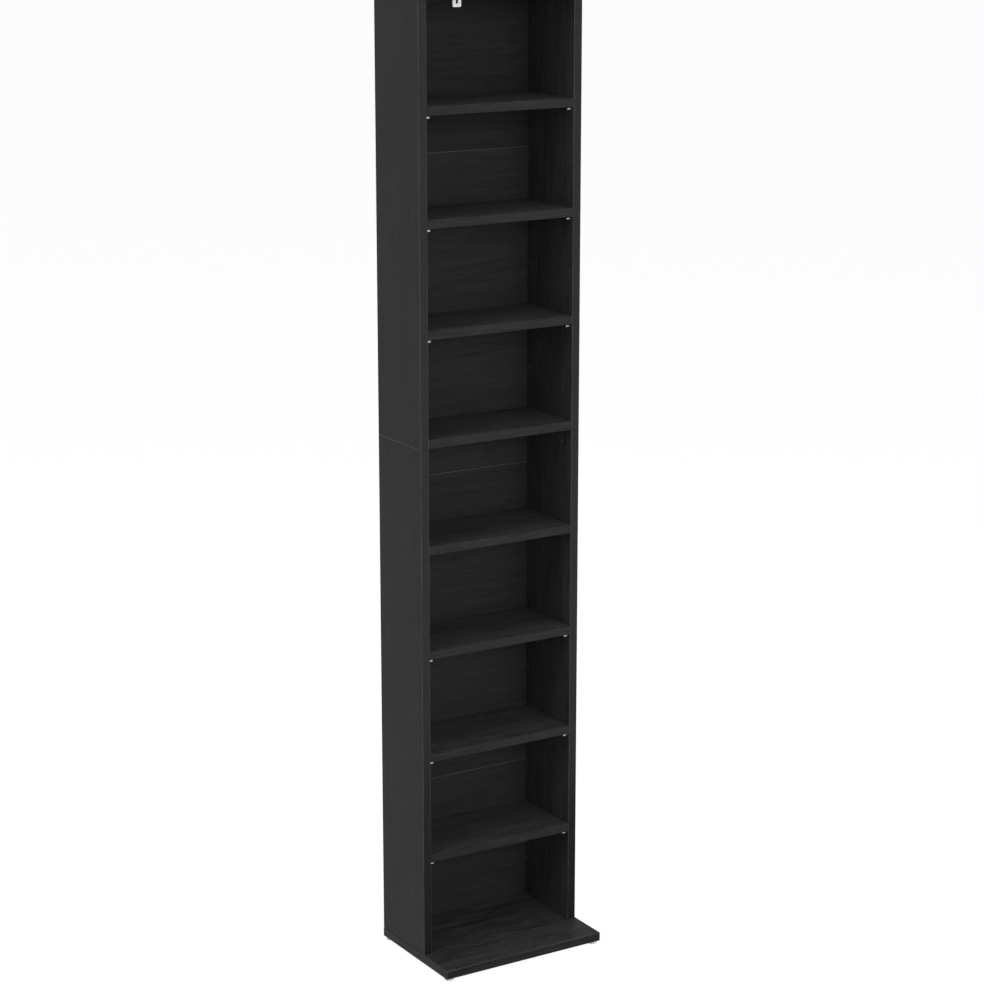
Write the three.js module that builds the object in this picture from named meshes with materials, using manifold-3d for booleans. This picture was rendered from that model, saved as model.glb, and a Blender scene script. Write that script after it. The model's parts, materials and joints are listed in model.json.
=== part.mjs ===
// A tall, narrow storage tower for discs: nine open compartments on a base that stands out in front of them.
// Millimetres, +Z up, open front towards -Y. The origin is on the floor, under the middle of the whole.

import * as THREE from "three";
import { mergeVertices, toCreasedNormals } from "three/addons/utils/BufferGeometryUtils.js";
import Module from "manifold-3d";

const wasm = await Module();
wasm.setup();

// The carcass
const boardThickness = 15;
const outerWidth = 300;
const sideDepth = 136;
const baseProjection = 76;
const capEndOverhang = 1;
const capFrontOverhang = 1.5;
const arrisRadius = 1.2;
const compartmentHeight = 160;
const compartmentCount = 9;
const fixedShelfNumbers = [4, 5];

// The hardboard back
const hardboardThickness = 3;
const hardboardInset = 2;
const hardboardSheetCount = 3;
const hardboardJoint = 0.4;

// Fits between pieces
const seatGap = 0.3;
const boreGap = 0.2;
const boreRoom = 0.5;
const shelfEndGap = 0.5;
const shelfBackGap = 1;
const cutOverrun = 1;

// The pins under the adjustable shelves, and their rows of bores
const pinDiameter = 5;
const pinInsertion = 10;
const pinReach = 8;
const pinSetback = 8;
const pinChamfer = 0.6;

// The glued dowels
const dowelDiameter = 8;
const dowelReach = 10;
const dowelChamfer = 0.8;
const shelfDowelOffset = 32;
const seamDowelReach = 15;
const seamDowelSetback = 21;

// The cam fittings: a round cam in one board grips the bolt that stands in the other
const fittingSetback = 37;
const camDiameter = 15;
const camHeight = 12;
const camChamfer = 0.5;
const camRecess = 0.5;
const camSetback = 34;
const camWindow = 6.8;
const camWindowPastCentre = 1;
const boltBoreDiameter = 8;
const boltThreadDiameter = 6;
const boltThreadLength = 11;
const boltCollarDiameter = 7;
const boltCollarLength = 1.5;
const boltShankDiameter = 5;
const boltNeckDiameter = 3.6;
const boltNeckLength = 2;
const boltHeadDiameter = 6.2;
const boltHeadLength = 3.5;
const camKeyWidth = 1.4;
const camKeyLength = 8;
const camKeyDepth = 2;

// The long screws that hold the base to the sides
const baseScrewLength = 50;
const baseScrewHeadDiameter = 10;
const baseScrewHeadRim = 0.6;
const baseScrewShankDiameter = 7;
const baseScrewShankLength = 13;
const baseScrewThreadDiameter = 6.2;
const baseScrewTipDiameter = 3;
const baseScrewTipLength = 4;
const hexKeyAcrossCorners = 4.6;
const hexKeyDepth = 3;

// The nailed-on feet
const footDiameter = 16;
const footHeight = 4.5;
const footChamfer = 1;
const footInset = 10;
const footNailDiameter = 1.8;
const footNailLength = 11;
const footNailPoint = 2;

// The angle that ties the top to a wall
const bracketWidth = 16;
const bracketDrop = 21;
const bracketReach = 17;
const bracketThickness = 1.5;
const bracketBendRadius = 1.2;
const bracketCornerRadius = 2;
const bracketSlotWidth = 4.5;
const bracketSlotLength = 12.5;
const bracketSlotDrop = 3.3;
const bracketScrewSetback = 9.5;
const bracketScrewHole = 4;
const bracketScrewDiameter = 3.4;
const bracketScrewLength = 11;
const bracketScrewPoint = 3;
const bracketScrewHeadDiameter = 7;
const bracketScrewHeadHeight = 2.2;
const bracketScrewHeadRim = 1;
const bracketScrewKeyWidth = 1;
const bracketScrewKeyLength = 4;
const bracketScrewKeyDepth = 1.2;

// How finely round stretches are divided
const boreSegments = 12;
const camSegments = 16;
const footSegments = 24;
const arcDivisions = 2;
const creaseAngle = Math.PI / 6;

// Sizes that follow from the ones above
const innerWidth = outerWidth - 2 * boardThickness;
const pitch = compartmentHeight + boardThickness;
const carcassHeight = compartmentCount * pitch + boardThickness;
const overallDepth = baseProjection + sideDepth + hardboardThickness;
const hardboardSheetHeight = carcassHeight / hardboardSheetCount;
const topUnderside = carcassHeight - boardThickness;
const sideCentre = (outerWidth - boardThickness) / 2;
const seamHeight = Math.max(...fixedShelfNumbers) * pitch; // the underside of the upper fixed shelf
const spareRowDrop = pitch / 2;
const footAcross = outerWidth / 2 + capEndOverhang - footInset;

// Shelves are numbered upwards from the lowest
const shelfNumbers = Array.from({ length: compartmentCount - 1 }, (unused, index) => index + 1);
const adjustableShelfNumbers = shelfNumbers.filter((number) => !fixedShelfNumbers.includes(number));
const [lowerFixedShelf, upperFixedShelf] = fixedShelfNumbers;

const xAxis = new THREE.Vector3(1, 0, 0);
const yAxis = new THREE.Vector3(0, 1, 0);
const zAxis = new THREE.Vector3(0, 0, 1);

const sides = [
  { name: "left", sign: -1 },
  { name: "right", sign: 1 },
];

const blackFoil = new THREE.MeshStandardMaterial({ color: 0x2d2c2c, roughness: 0.42, metalness: 0 });
const blackHardboard = new THREE.MeshStandardMaterial({ color: 0x252525, roughness: 0.6, metalness: 0 });
const nickel = new THREE.MeshStandardMaterial({ color: 0xc9c9c6, roughness: 0.28, metalness: 1 });
const zinc = new THREE.MeshStandardMaterial({ color: 0xa9abad, roughness: 0.45, metalness: 1 });
const whiteEnamel = new THREE.MeshStandardMaterial({ color: 0xf2f2ef, roughness: 0.4, metalness: 0 });
const greyPlastic = new THREE.MeshStandardMaterial({ color: 0xb9b9b6, roughness: 0.5, metalness: 0 });

// The height of a shelf's underside over that of the base
function shelfUnderside(number) {
  return number * pitch;
}

// The height of the pins that carry a shelf
function pinHeight(number) {
  return shelfUnderside(number) - seatGap - pinDiameter / 2;
}

function solidOf(geometry) {
  const bare = geometry.clone();
  bare.deleteAttribute("normal");
  bare.deleteAttribute("uv");
  const merged = mergeVertices(bare);
  return new wasm.Manifold(
    new wasm.Mesh({
      numProp: 3,
      vertProperties: new Float32Array(merged.attributes.position.array),
      triVerts: new Uint32Array(merged.index.array),
    }),
  );
}

function geometryOf(solid) {
  const made = solid.getMesh();
  const geometry = new THREE.BufferGeometry();
  geometry.setAttribute("position", new THREE.BufferAttribute(made.vertProperties, 3));
  geometry.setIndex(new THREE.BufferAttribute(made.triVerts, 1));
  return toCreasedNormals(geometry, creaseAngle);
}

function joined(solids) {
  return solids.reduce((whole, solid) => whole.add(solid));
}

function cutFrom(solid, cutters) {
  return cutters.reduce((rest, cutter) => rest.subtract(cutter), solid);
}

function piece(name, solid, material, x, y, z) {
  const mesh = new THREE.Mesh(geometryOf(solid), material);
  mesh.name = name;
  mesh.position.set(x, y, z);
  return mesh;
}

// Turns a geometry made along +Y to run along a direction, and moves its start to a point
function aim(geometry, start, direction) {
  const turn = new THREE.Quaternion().setFromUnitVectors(yAxis, direction);
  return geometry.applyQuaternion(turn).translate(start.x, start.y, start.z);
}

// A turned piece. Its profile lists [radius, distance along the direction] from end to end on the axis
function turned(profile, start, direction, segments = boreSegments) {
  const points = profile.map(([radius, along]) => new THREE.Vector2(radius, along));
  return solidOf(aim(new THREE.LatheGeometry(points, segments), start, direction));
}

// A cutter for a round bore, from just outside the face at its mouth to its full depth
function bore(diameter, depth, mouth, direction, segments = boreSegments) {
  const radius = diameter / 2;
  const profile = [
    [0, -cutOverrun],
    [radius, -cutOverrun],
    [radius, depth],
    [0, depth],
  ];
  return turned(profile, mouth, direction, segments);
}

// A rod with a chamfer round both ends
function chamferedRod(diameter, length, chamfer, start, direction, segments = boreSegments) {
  const radius = diameter / 2;
  const profile = [
    [0, 0],
    [radius - chamfer, 0],
    [radius, chamfer],
    [radius, length - chamfer],
    [radius - chamfer, length],
    [0, length],
  ];
  return turned(profile, start, direction, segments);
}

function box(width, depth, height, x, y, z) {
  return solidOf(new THREE.BoxGeometry(width, depth, height).translate(x, y, z));
}

// Two crossed grooves for a screwdriver, sunk from the plane z = top
function crossRecess(width, length, depth, top) {
  const height = depth + cutOverrun;
  const z = top - depth + height / 2;
  return box(length, width, height, 0, 0, z).add(box(width, length, height, 0, 0, z));
}

// A board with a rounded front edge: seen from its end, with the front at 0 and the thickness upwards
function edgedSection(depth) {
  const shape = new THREE.Shape();
  shape.moveTo(depth, 0);
  shape.lineTo(depth, boardThickness);
  shape.absarc(arrisRadius, boardThickness - arrisRadius, arrisRadius, Math.PI / 2, Math.PI, false);
  shape.absarc(arrisRadius, arrisRadius, arrisRadius, Math.PI, 1.5 * Math.PI, false);
  shape.closePath();
  return shape;
}

function extruded(shape, length) {
  return new THREE.ExtrudeGeometry(shape, {
    depth: length,
    bevelEnabled: false,
    curveSegments: arcDivisions,
  });
}

// A board that lies flat, centred across x, with its underside at 0
function shelfBoard(width, depth) {
  const geometry = extruded(edgedSection(depth), width);
  geometry.applyMatrix4(new THREE.Matrix4().makeBasis(yAxis, zAxis, xAxis));
  return solidOf(geometry.translate(-width / 2, 0, 0));
}

// A board that stands on end, centred across x, with its foot at 0
function sideBoard(height) {
  const geometry = extruded(edgedSection(sideDepth), height);
  geometry.applyMatrix4(new THREE.Matrix4().makeBasis(yAxis, xAxis.clone().negate(), zAxis));
  return solidOf(geometry.translate(boardThickness / 2, 0, 0));
}

// A board whose four edges are all rounded, from its front at 0 backwards and from its underside at 0 upwards
function capBoard(width, depth) {
  const halfWidth = width / 2 - arrisRadius;
  const shape = new THREE.Shape();
  shape.moveTo(-halfWidth, arrisRadius);
  shape.lineTo(halfWidth, arrisRadius);
  shape.lineTo(halfWidth, depth - arrisRadius);
  shape.lineTo(-halfWidth, depth - arrisRadius);
  shape.closePath();
  const geometry = new THREE.ExtrudeGeometry(shape, {
    depth: boardThickness - 2 * arrisRadius,
    bevelThickness: arrisRadius,
    bevelSize: arrisRadius,
    bevelSegments: 2 * arcDivisions,
  });
  return solidOf(geometry.translate(0, 0, arrisRadius));
}

// The places along the depth of a side where a fitting stands, the front one first
function depthPlaces(setback) {
  return [
    { name: "front", y: setback },
    { name: "rear", y: sideDepth - setback },
  ];
}

function countersunkBore(mouth) {
  const head = baseScrewHeadDiameter / 2 + boreGap;
  const shank = baseScrewShankDiameter / 2 + boreGap;
  const cone = baseScrewHeadRim + head - shank;
  const profile = [
    [0, -cutOverrun],
    [head, -cutOverrun],
    [head, baseScrewHeadRim],
    [shank, cone],
    [shank, boardThickness + cutOverrun],
    [0, boardThickness + cutOverrun],
  ];
  return turned(profile, mouth, zAxis);
}

function basePanel() {
  const depth = baseProjection + sideDepth;
  const board = capBoard(outerWidth + 2 * capEndOverhang, depth);
  const cutters = [];
  for (const { sign } of sides) {
    for (const { y } of depthPlaces(fittingSetback)) {
      cutters.push(countersunkBore(new THREE.Vector3(sign * sideCentre, baseProjection + y, 0)));
    }
    for (const y of [footInset, depth - footInset]) {
      const mouth = new THREE.Vector3(sign * footAcross, y, 0);
      cutters.push(bore(footNailDiameter + 2 * boreGap, footNailLength + boreRoom, mouth, zAxis));
    }
  }
  return cutFrom(board, cutters);
}

function topPanel() {
  const board = capBoard(outerWidth + 2 * capEndOverhang, sideDepth + capFrontOverhang);
  const cutters = [];
  for (const { sign } of sides) {
    for (const { y } of depthPlaces(fittingSetback)) {
      const mouth = new THREE.Vector3(sign * sideCentre, capFrontOverhang + y, 0);
      cutters.push(bore(boltThreadDiameter + 2 * boreGap, boltThreadLength + boreRoom, mouth, zAxis));
    }
  }
  const screwMouth = new THREE.Vector3(0, capFrontOverhang + sideDepth - bracketScrewSetback, 0);
  const screwDepth = bracketScrewLength - bracketThickness + boreRoom;
  cutters.push(bore(bracketScrewDiameter + 2 * boreGap, screwDepth, screwMouth, zAxis));
  return cutFrom(board, cutters);
}

// The bores for the pins of the adjustable shelves that a side holds, and for the spare row below each
function pinBores(sign, foot, head) {
  const into = xAxis.clone().multiplyScalar(sign);
  const inner = (-sign * boardThickness) / 2;
  const cutters = [];
  for (const number of adjustableShelfNumbers) {
    const height = pinHeight(number);
    if (height < foot || height > head) continue;
    for (const z of [height, height - spareRowDrop]) {
      for (const { y } of depthPlaces(pinSetback)) {
        const mouth = new THREE.Vector3(inner, y, z - foot);
        cutters.push(bore(pinDiameter + 2 * boreGap, pinInsertion + boreRoom, mouth, into));
      }
    }
  }
  return cutters;
}

// The bores for the two dowels and the bolt at one end of a fixed shelf
function fixedShelfBores(sign, z) {
  const into = xAxis.clone().multiplyScalar(sign);
  const inner = (-sign * boardThickness) / 2;
  const middle = sideDepth / 2;
  const dowels = [-shelfDowelOffset, shelfDowelOffset].map((offset) => {
    const mouth = new THREE.Vector3(inner, middle + offset, z);
    return bore(dowelDiameter + 2 * boreGap, dowelReach + boreRoom, mouth, into);
  });
  const boltMouth = new THREE.Vector3(inner, middle, z);
  return [...dowels, bore(boltThreadDiameter + 2 * boreGap, boltThreadLength + boreRoom, boltMouth, into)];
}

function sideLower(sign) {
  const foot = boardThickness;
  const down = zAxis.clone().negate();
  const height = seamHeight - foot;
  const board = sideBoard(height);
  const dowels = depthPlaces(seamDowelSetback).map(({ y }) => {
    const root = new THREE.Vector3(0, y, height + seamDowelReach);
    return chamferedRod(dowelDiameter, 2 * seamDowelReach, dowelChamfer, root, down);
  });
  const screwBores = depthPlaces(fittingSetback).map(({ y }) =>
    bore(
      baseScrewThreadDiameter + 2 * boreGap,
      baseScrewLength - boardThickness + boreRoom,
      new THREE.Vector3(0, y, 0),
      zAxis,
    ),
  );
  const shelfMiddle = shelfUnderside(lowerFixedShelf) + boardThickness / 2 - foot;
  return cutFrom(joined([board, ...dowels]), [
    ...screwBores,
    ...pinBores(sign, foot, seamHeight),
    ...fixedShelfBores(sign, shelfMiddle),
  ]);
}

function sideUpper(sign) {
  const height = topUnderside - seamHeight;
  const inner = (-sign * boardThickness) / 2;
  const into = xAxis.clone().multiplyScalar(sign);
  const down = zAxis.clone().negate();
  const seamBores = depthPlaces(seamDowelSetback).map(({ y }) =>
    bore(dowelDiameter + 2 * boreGap, seamDowelReach + boreRoom, new THREE.Vector3(0, y, 0), zAxis),
  );
  const camBores = depthPlaces(fittingSetback).flatMap(({ y }) => [
    bore(
      camDiameter + 2 * boreGap,
      camHeight + camRecess + boreGap,
      new THREE.Vector3(inner, y, height - camSetback),
      into,
      camSegments,
    ),
    bore(boltBoreDiameter, camSetback, new THREE.Vector3(0, y, height), down),
  ]);
  const shelfMiddle = shelfUnderside(upperFixedShelf) + boardThickness / 2 - seamHeight;
  return cutFrom(sideBoard(height), [
    ...seamBores,
    ...camBores,
    ...pinBores(sign, seamHeight, topUnderside),
    ...fixedShelfBores(sign, shelfMiddle),
  ]);
}

function fixedShelf() {
  const middle = sideDepth / 2;
  const dowels = [];
  const cutters = [];
  for (const { sign } of sides) {
    const outward = xAxis.clone().multiplyScalar(sign);
    const inward = outward.clone().negate();
    const end = (sign * innerWidth) / 2;
    for (const offset of [-shelfDowelOffset, shelfDowelOffset]) {
      const root = new THREE.Vector3(end - sign * dowelReach, middle + offset, boardThickness / 2);
      dowels.push(chamferedRod(dowelDiameter, 2 * dowelReach, dowelChamfer, root, outward));
    }
    const camMouth = new THREE.Vector3(end - sign * camSetback, middle, 0);
    const camDepth = camHeight + camRecess + boreGap;
    cutters.push(bore(camDiameter + 2 * boreGap, camDepth, camMouth, zAxis, camSegments));
    const boltMouth = new THREE.Vector3(end, middle, boardThickness / 2);
    cutters.push(bore(boltBoreDiameter, camSetback, boltMouth, inward));
  }
  return cutFrom(joined([shelfBoard(innerWidth, sideDepth), ...dowels]), cutters);
}

// The cam and the bolt it grips: the bolt runs along +X from the joint between the boards, the cam faces +Z
function camFitting() {
  const face = boardThickness / 2 - camRecess;
  const centre = new THREE.Vector3(camSetback, 0, face - camHeight);
  const disc = chamferedRod(camDiameter, camHeight, camChamfer, centre, zAxis, camSegments);
  const windowStart = camSetback - camDiameter / 2 - cutOverrun;
  const windowLength = camSetback + camWindowPastCentre - windowStart;
  const window = box(windowLength, camWindow, camWindow, windowStart + windowLength / 2, 0, 0);
  const key = crossRecess(camKeyWidth, camKeyLength, camKeyDepth, face).translate([camSetback, 0, 0]);
  const headEnd = camSetback + camWindowPastCentre + boreRoom;
  const headStart = headEnd - boltHeadLength;
  const neckStart = headStart - boltNeckLength;
  const bolt = turned(
    [
      [0, -boltThreadLength],
      [boltThreadDiameter / 2, -boltThreadLength],
      [boltThreadDiameter / 2, 0],
      [boltCollarDiameter / 2, 0],
      [boltCollarDiameter / 2, boltCollarLength],
      [boltShankDiameter / 2, boltCollarLength],
      [boltShankDiameter / 2, neckStart],
      [boltNeckDiameter / 2, neckStart],
      [boltNeckDiameter / 2, headStart],
      [boltHeadDiameter / 2, headStart],
      [boltHeadDiameter / 2, headEnd],
      [0, headEnd],
    ],
    new THREE.Vector3(),
    xAxis,
  );
  return cutFrom(disc, [window, key]).add(bolt);
}

function baseScrew() {
  const head = baseScrewHeadDiameter / 2;
  const shank = baseScrewShankDiameter / 2;
  const thread = baseScrewThreadDiameter / 2;
  const body = turned(
    [
      [0, 0],
      [head, 0],
      [head, baseScrewHeadRim],
      [shank, baseScrewHeadRim + head - shank],
      [shank, baseScrewShankLength],
      [thread, baseScrewShankLength],
      [thread, baseScrewLength - baseScrewTipLength],
      [baseScrewTipDiameter / 2, baseScrewLength],
      [0, baseScrewLength],
    ],
    new THREE.Vector3(),
    zAxis,
  );
  const hexSides = 6;
  return body.subtract(bore(hexKeyAcrossCorners, hexKeyDepth, new THREE.Vector3(), zAxis, hexSides));
}

function foot() {
  const radius = footDiameter / 2;
  const nail = footNailDiameter / 2;
  const tip = footHeight + footNailLength;
  const profile = [
    [0, 0],
    [radius - footChamfer, 0],
    [radius, footChamfer],
    [radius, footHeight],
    [nail, footHeight],
    [nail, tip - footNailPoint],
    [0, tip],
  ];
  return turned(profile, new THREE.Vector3(), zAxis, footSegments);
}

// An outline centred across, from `low` up to `high`, with its two lower corners rounded
function leafOutline(width, low, high, radius) {
  const half = width / 2;
  const shape = new THREE.Shape();
  shape.moveTo(half, high);
  shape.lineTo(-half, high);
  shape.absarc(-half + radius, low + radius, radius, Math.PI, 1.5 * Math.PI, false);
  shape.absarc(half - radius, low + radius, radius, 1.5 * Math.PI, 2 * Math.PI, false);
  shape.closePath();
  return shape;
}

// The bent strip from its end, with the outside of its corner at 0: one leaf runs forward, the other down
function bracketSection() {
  const outer = bracketThickness + bracketBendRadius;
  const shape = new THREE.Shape();
  shape.moveTo(-bracketReach, 0);
  shape.lineTo(-bracketReach, -bracketThickness);
  shape.absarc(-outer, -outer, bracketBendRadius, Math.PI / 2, 0, true);
  shape.lineTo(-bracketThickness, -bracketDrop);
  shape.lineTo(0, -bracketDrop);
  shape.absarc(-outer, -outer, outer, 0, Math.PI / 2, false);
  shape.closePath();
  return shape;
}

function wallBracket() {
  const strip = extruded(bracketSection(), bracketWidth);
  strip.applyMatrix4(new THREE.Matrix4().makeBasis(yAxis, zAxis, xAxis));
  strip.translate(-bracketWidth / 2, 0, 0);
  const past = bracketReach + cutOverrun;
  const frontTurn = new THREE.Matrix4().makeBasis(xAxis, zAxis, yAxis.clone().negate());
  const frontOutline = leafOutline(bracketWidth, -bracketDrop, cutOverrun, bracketCornerRadius);
  const frontLimit = extruded(frontOutline, past + cutOverrun).applyMatrix4(frontTurn);
  frontLimit.translate(0, cutOverrun, 0);
  const planOutline = leafOutline(bracketWidth, -bracketReach, cutOverrun, bracketCornerRadius);
  const planLimit = extruded(planOutline, bracketDrop + 2 * cutOverrun);
  planLimit.translate(0, 0, -bracketDrop - cutOverrun);
  const slotRun = bracketSlotLength - bracketSlotWidth;
  const slotTop = -bracketSlotDrop - bracketSlotWidth / 2;
  const slotDepth = bracketThickness + cutOverrun;
  const slotMiddle = (cutOverrun - slotDepth) / 2;
  const rearMouth = (z) => new THREE.Vector3(0, 0, z);
  const forward = yAxis.clone().negate();
  const slot = joined([
    bore(bracketSlotWidth, slotDepth, rearMouth(slotTop), forward),
    bore(bracketSlotWidth, slotDepth, rearMouth(slotTop - slotRun), forward),
    box(bracketSlotWidth, slotDepth + cutOverrun, slotRun, 0, slotMiddle, slotTop - slotRun / 2),
  ]);
  const holeMouth = new THREE.Vector3(0, -bracketScrewSetback, 0);
  const hole = bore(bracketScrewHole, bracketThickness + cutOverrun, holeMouth, zAxis.clone().negate());
  const leaves = solidOf(strip).intersect(solidOf(frontLimit)).intersect(solidOf(planLimit));
  return cutFrom(leaves, [slot, hole]);
}

function bracketScrew() {
  const head = bracketScrewHeadDiameter / 2;
  const thread = bracketScrewDiameter / 2;
  const body = turned(
    [
      [0, -bracketScrewHeadHeight],
      [head - bracketScrewHeadRim, -bracketScrewHeadHeight],
      [head, -bracketScrewHeadRim],
      [head, 0],
      [thread, 0],
      [thread, bracketScrewLength - bracketScrewPoint],
      [0, bracketScrewLength],
    ],
    new THREE.Vector3(),
    zAxis,
  );
  const down = new THREE.Matrix4().makeBasis(xAxis, yAxis.clone().negate(), zAxis.clone().negate());
  const key = crossRecess(
    bracketScrewKeyWidth,
    bracketScrewKeyLength,
    bracketScrewKeyDepth,
    bracketScrewHeadHeight,
  );
  return body.subtract(key.transform(down.toArray()));
}

// Within the carcass, y = 0 is the front of the sides and z = 0 the underside of the base
const carcass = new THREE.Group();
carcass.position.set(0, baseProjection - overallDepth / 2, footHeight);

carcass.add(piece("base_panel", basePanel(), blackFoil, 0, -baseProjection, 0));
carcass.add(piece("top_panel", topPanel(), blackFoil, 0, -capFrontOverhang, topUnderside));

for (const { name, sign } of sides) {
  const x = sign * sideCentre;
  carcass.add(piece(`${name}_side_lower`, sideLower(sign), blackFoil, x, 0, boardThickness));
  carcass.add(piece(`${name}_side_upper`, sideUpper(sign), blackFoil, x, 0, seamHeight));
}

for (const number of fixedShelfNumbers) {
  carcass.add(piece(`fixed_shelf_${number}`, fixedShelf(), blackFoil, 0, 0, shelfUnderside(number)));
}

const looseShelf = shelfBoard(innerWidth - 2 * shelfEndGap, sideDepth - shelfBackGap);
for (const number of adjustableShelfNumbers) {
  carcass.add(piece(`adjustable_shelf_${number}`, looseShelf, blackFoil, 0, 0, shelfUnderside(number)));
}

// Two whole sheets of the back meet at half its height, and the third is halved between its ends
const middleJoint = carcassHeight / 2;
const backLevels = [
  hardboardInset - hardboardJoint / 2,
  middleJoint - hardboardSheetHeight,
  middleJoint,
  middleJoint + hardboardSheetHeight,
  carcassHeight - hardboardInset + hardboardJoint / 2,
];
const backNames = ["bottom", "lower", "upper", "top"];
backNames.forEach((name, index) => {
  const low = backLevels[index] + hardboardJoint / 2;
  const high = backLevels[index + 1] - hardboardJoint / 2;
  const sheet = box(outerWidth - 2 * hardboardInset, hardboardThickness, high - low, 0, 0, 0);
  const y = sideDepth + hardboardThickness / 2;
  carcass.add(piece(`back_panel_${name}`, sheet, blackHardboard, 0, y, (low + high) / 2));
});

const pin = chamferedRod(pinDiameter, pinInsertion + pinReach, pinChamfer, new THREE.Vector3(), xAxis);
for (const number of adjustableShelfNumbers) {
  for (const { name, sign } of sides) {
    for (const place of depthPlaces(pinSetback)) {
      const start = sign < 0 ? -innerWidth / 2 - pinInsertion : innerWidth / 2 - pinReach;
      const pinName = `shelf_pin_${number}_${name}_${place.name}`;
      carcass.add(piece(pinName, pin, nickel, start, place.y, pinHeight(number)));
    }
  }
}

const cam = camFitting();
for (const number of fixedShelfNumbers) {
  for (const { name, sign } of sides) {
    const z = shelfUnderside(number) + boardThickness / 2;
    const mesh = piece(`shelf_cam_${number}_${name}`, cam, zinc, (sign * innerWidth) / 2, sideDepth / 2, z);
    mesh.rotation.set(Math.PI, 0, sign < 0 ? 0 : Math.PI);
    carcass.add(mesh);
  }
}

for (const { name, sign } of sides) {
  for (const place of depthPlaces(fittingSetback)) {
    const mesh = piece(`top_cam_${name}_${place.name}`, cam, zinc, sign * sideCentre, place.y, topUnderside);
    const down = zAxis.clone().negate();
    const inward = xAxis.clone().multiplyScalar(-sign);
    const across = inward.clone().cross(down);
    mesh.quaternion.setFromRotationMatrix(new THREE.Matrix4().makeBasis(down, across, inward));
    carcass.add(mesh);
    carcass.add(piece(`base_screw_${name}_${place.name}`, baseScrew(), zinc, sign * sideCentre, place.y, 0));
  }
  const footPlaces = [
    { end: "front", y: footInset - baseProjection },
    { end: "rear", y: sideDepth - footInset },
  ];
  for (const { end, y } of footPlaces) {
    carcass.add(piece(`foot_${name}_${end}`, foot(), greyPlastic, sign * footAcross, y, -footHeight));
  }
}

carcass.add(piece("wall_bracket", wallBracket(), whiteEnamel, 0, sideDepth, topUnderside));
const bracketScrewY = sideDepth - bracketScrewSetback;
const bracketScrewZ = topUnderside - bracketThickness;
carcass.add(piece("wall_bracket_screw", bracketScrew(), zinc, 0, bracketScrewY, bracketScrewZ));

const tower = new THREE.Group();
tower.name = "disc_tower";
tower.add(carcass);

export default tower;
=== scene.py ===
"""A tall, narrow disc tower in black wood-grain foil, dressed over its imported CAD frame.

Each operator makes one piece, or a group of like pieces, where the CAD nodes that it stands for are. Metres, +Z up,
open front towards -Y.
"""

import json
from math import pi, radians

import bpy
import numpy as np
from bpy.props import FloatProperty, FloatVectorProperty, IntProperty, PointerProperty
from bpy.types import Operator, Panel, PropertyGroup
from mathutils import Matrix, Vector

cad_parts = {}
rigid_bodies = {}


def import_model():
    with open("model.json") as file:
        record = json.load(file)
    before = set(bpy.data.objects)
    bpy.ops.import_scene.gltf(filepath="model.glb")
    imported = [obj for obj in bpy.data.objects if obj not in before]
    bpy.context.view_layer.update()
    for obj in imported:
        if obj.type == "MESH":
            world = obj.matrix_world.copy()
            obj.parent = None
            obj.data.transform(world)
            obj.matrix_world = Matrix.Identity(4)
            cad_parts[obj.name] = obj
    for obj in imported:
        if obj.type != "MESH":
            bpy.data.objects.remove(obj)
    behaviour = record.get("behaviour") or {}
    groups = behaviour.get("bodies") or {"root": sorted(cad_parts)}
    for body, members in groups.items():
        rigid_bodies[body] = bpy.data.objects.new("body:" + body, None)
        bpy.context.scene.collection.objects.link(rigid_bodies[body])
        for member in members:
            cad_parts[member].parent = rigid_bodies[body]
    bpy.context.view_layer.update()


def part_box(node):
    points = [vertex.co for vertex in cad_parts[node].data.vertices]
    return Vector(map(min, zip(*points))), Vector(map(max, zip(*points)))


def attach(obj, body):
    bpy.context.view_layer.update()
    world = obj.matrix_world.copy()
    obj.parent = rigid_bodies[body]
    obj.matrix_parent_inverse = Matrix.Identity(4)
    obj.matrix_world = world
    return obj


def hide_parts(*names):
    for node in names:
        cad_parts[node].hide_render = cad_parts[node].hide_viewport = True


bl_info = {
    "name": "Disc tower",
    "version": (1, 0, 0),
    "blender": (4, 5, 0),
    "location": "View3D > Sidebar > Disc tower",
    "description": "Dresses the packed CAD model of a tall disc tower",
    "category": "Object",
}

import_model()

MM = 0.001
X, Y, Z = np.eye(3)
FACE, EDGING, RAW = range(3)
HANDS = {"left": -1, "right": 1}
ENDS = ("front", "rear")
QUARTERS = [(hand, end) for hand in HANDS for end in ENDS]
FIXED = (4, 5)
ADJUSTABLE = (1, 2, 3, 6, 7, 8)
SHEETS = ("bottom", "lower", "upper", "top")

# Sizes that go with the CAD nodes. A bore's room is what it has beyond the end of a rod.
LEAST_RADIUS = 0.05 * MM
# Arrises rounder than this get wear and a painted highlight
RUBBED_AND_HIGHLIT_RADIUS = 0.7 * MM
OVERRUN = 1 * MM
BORE_ROOM = 0.5 * MM
SIDE_END_EASING = 0.9 * MM
CAM_DIAMETER = 15 * MM
CAM_HEIGHT = 12 * MM
CAM_EDGE = 0.5 * MM
CAM_SETBACK = 34 * MM
CAM_RECESS = 0.5 * MM
CAM_BORE = 15.4 * MM
CAM_BORE_DEPTH = 12.7 * MM
CAM_WINDOW = 3.4 * MM
BOLT_LEVEL = 7 * MM
BOLT_TIP = 11 * MM
BOLT_BORE = 8 * MM
THREAD_BORE = 6.4 * MM
THREAD_DEPTH = 11.5 * MM
DOWEL_DIAMETER = 8 * MM
DOWEL_CHAMFER = 0.8 * MM
DOWEL_FLUTES = 18
SHELF_DOWEL_REACH = 10 * MM
SHELF_DOWEL_OFFSETS = (-32 * MM, 32 * MM)
SEAM_DOWEL_REACH = 15 * MM
SEAM_DOWEL_SETBACK = 21 * MM
CUP_DIAMETER = 15.4 * MM
CUP_DEPTH = 5.2 * MM
CUP_DROP = 23.3 * MM
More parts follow.
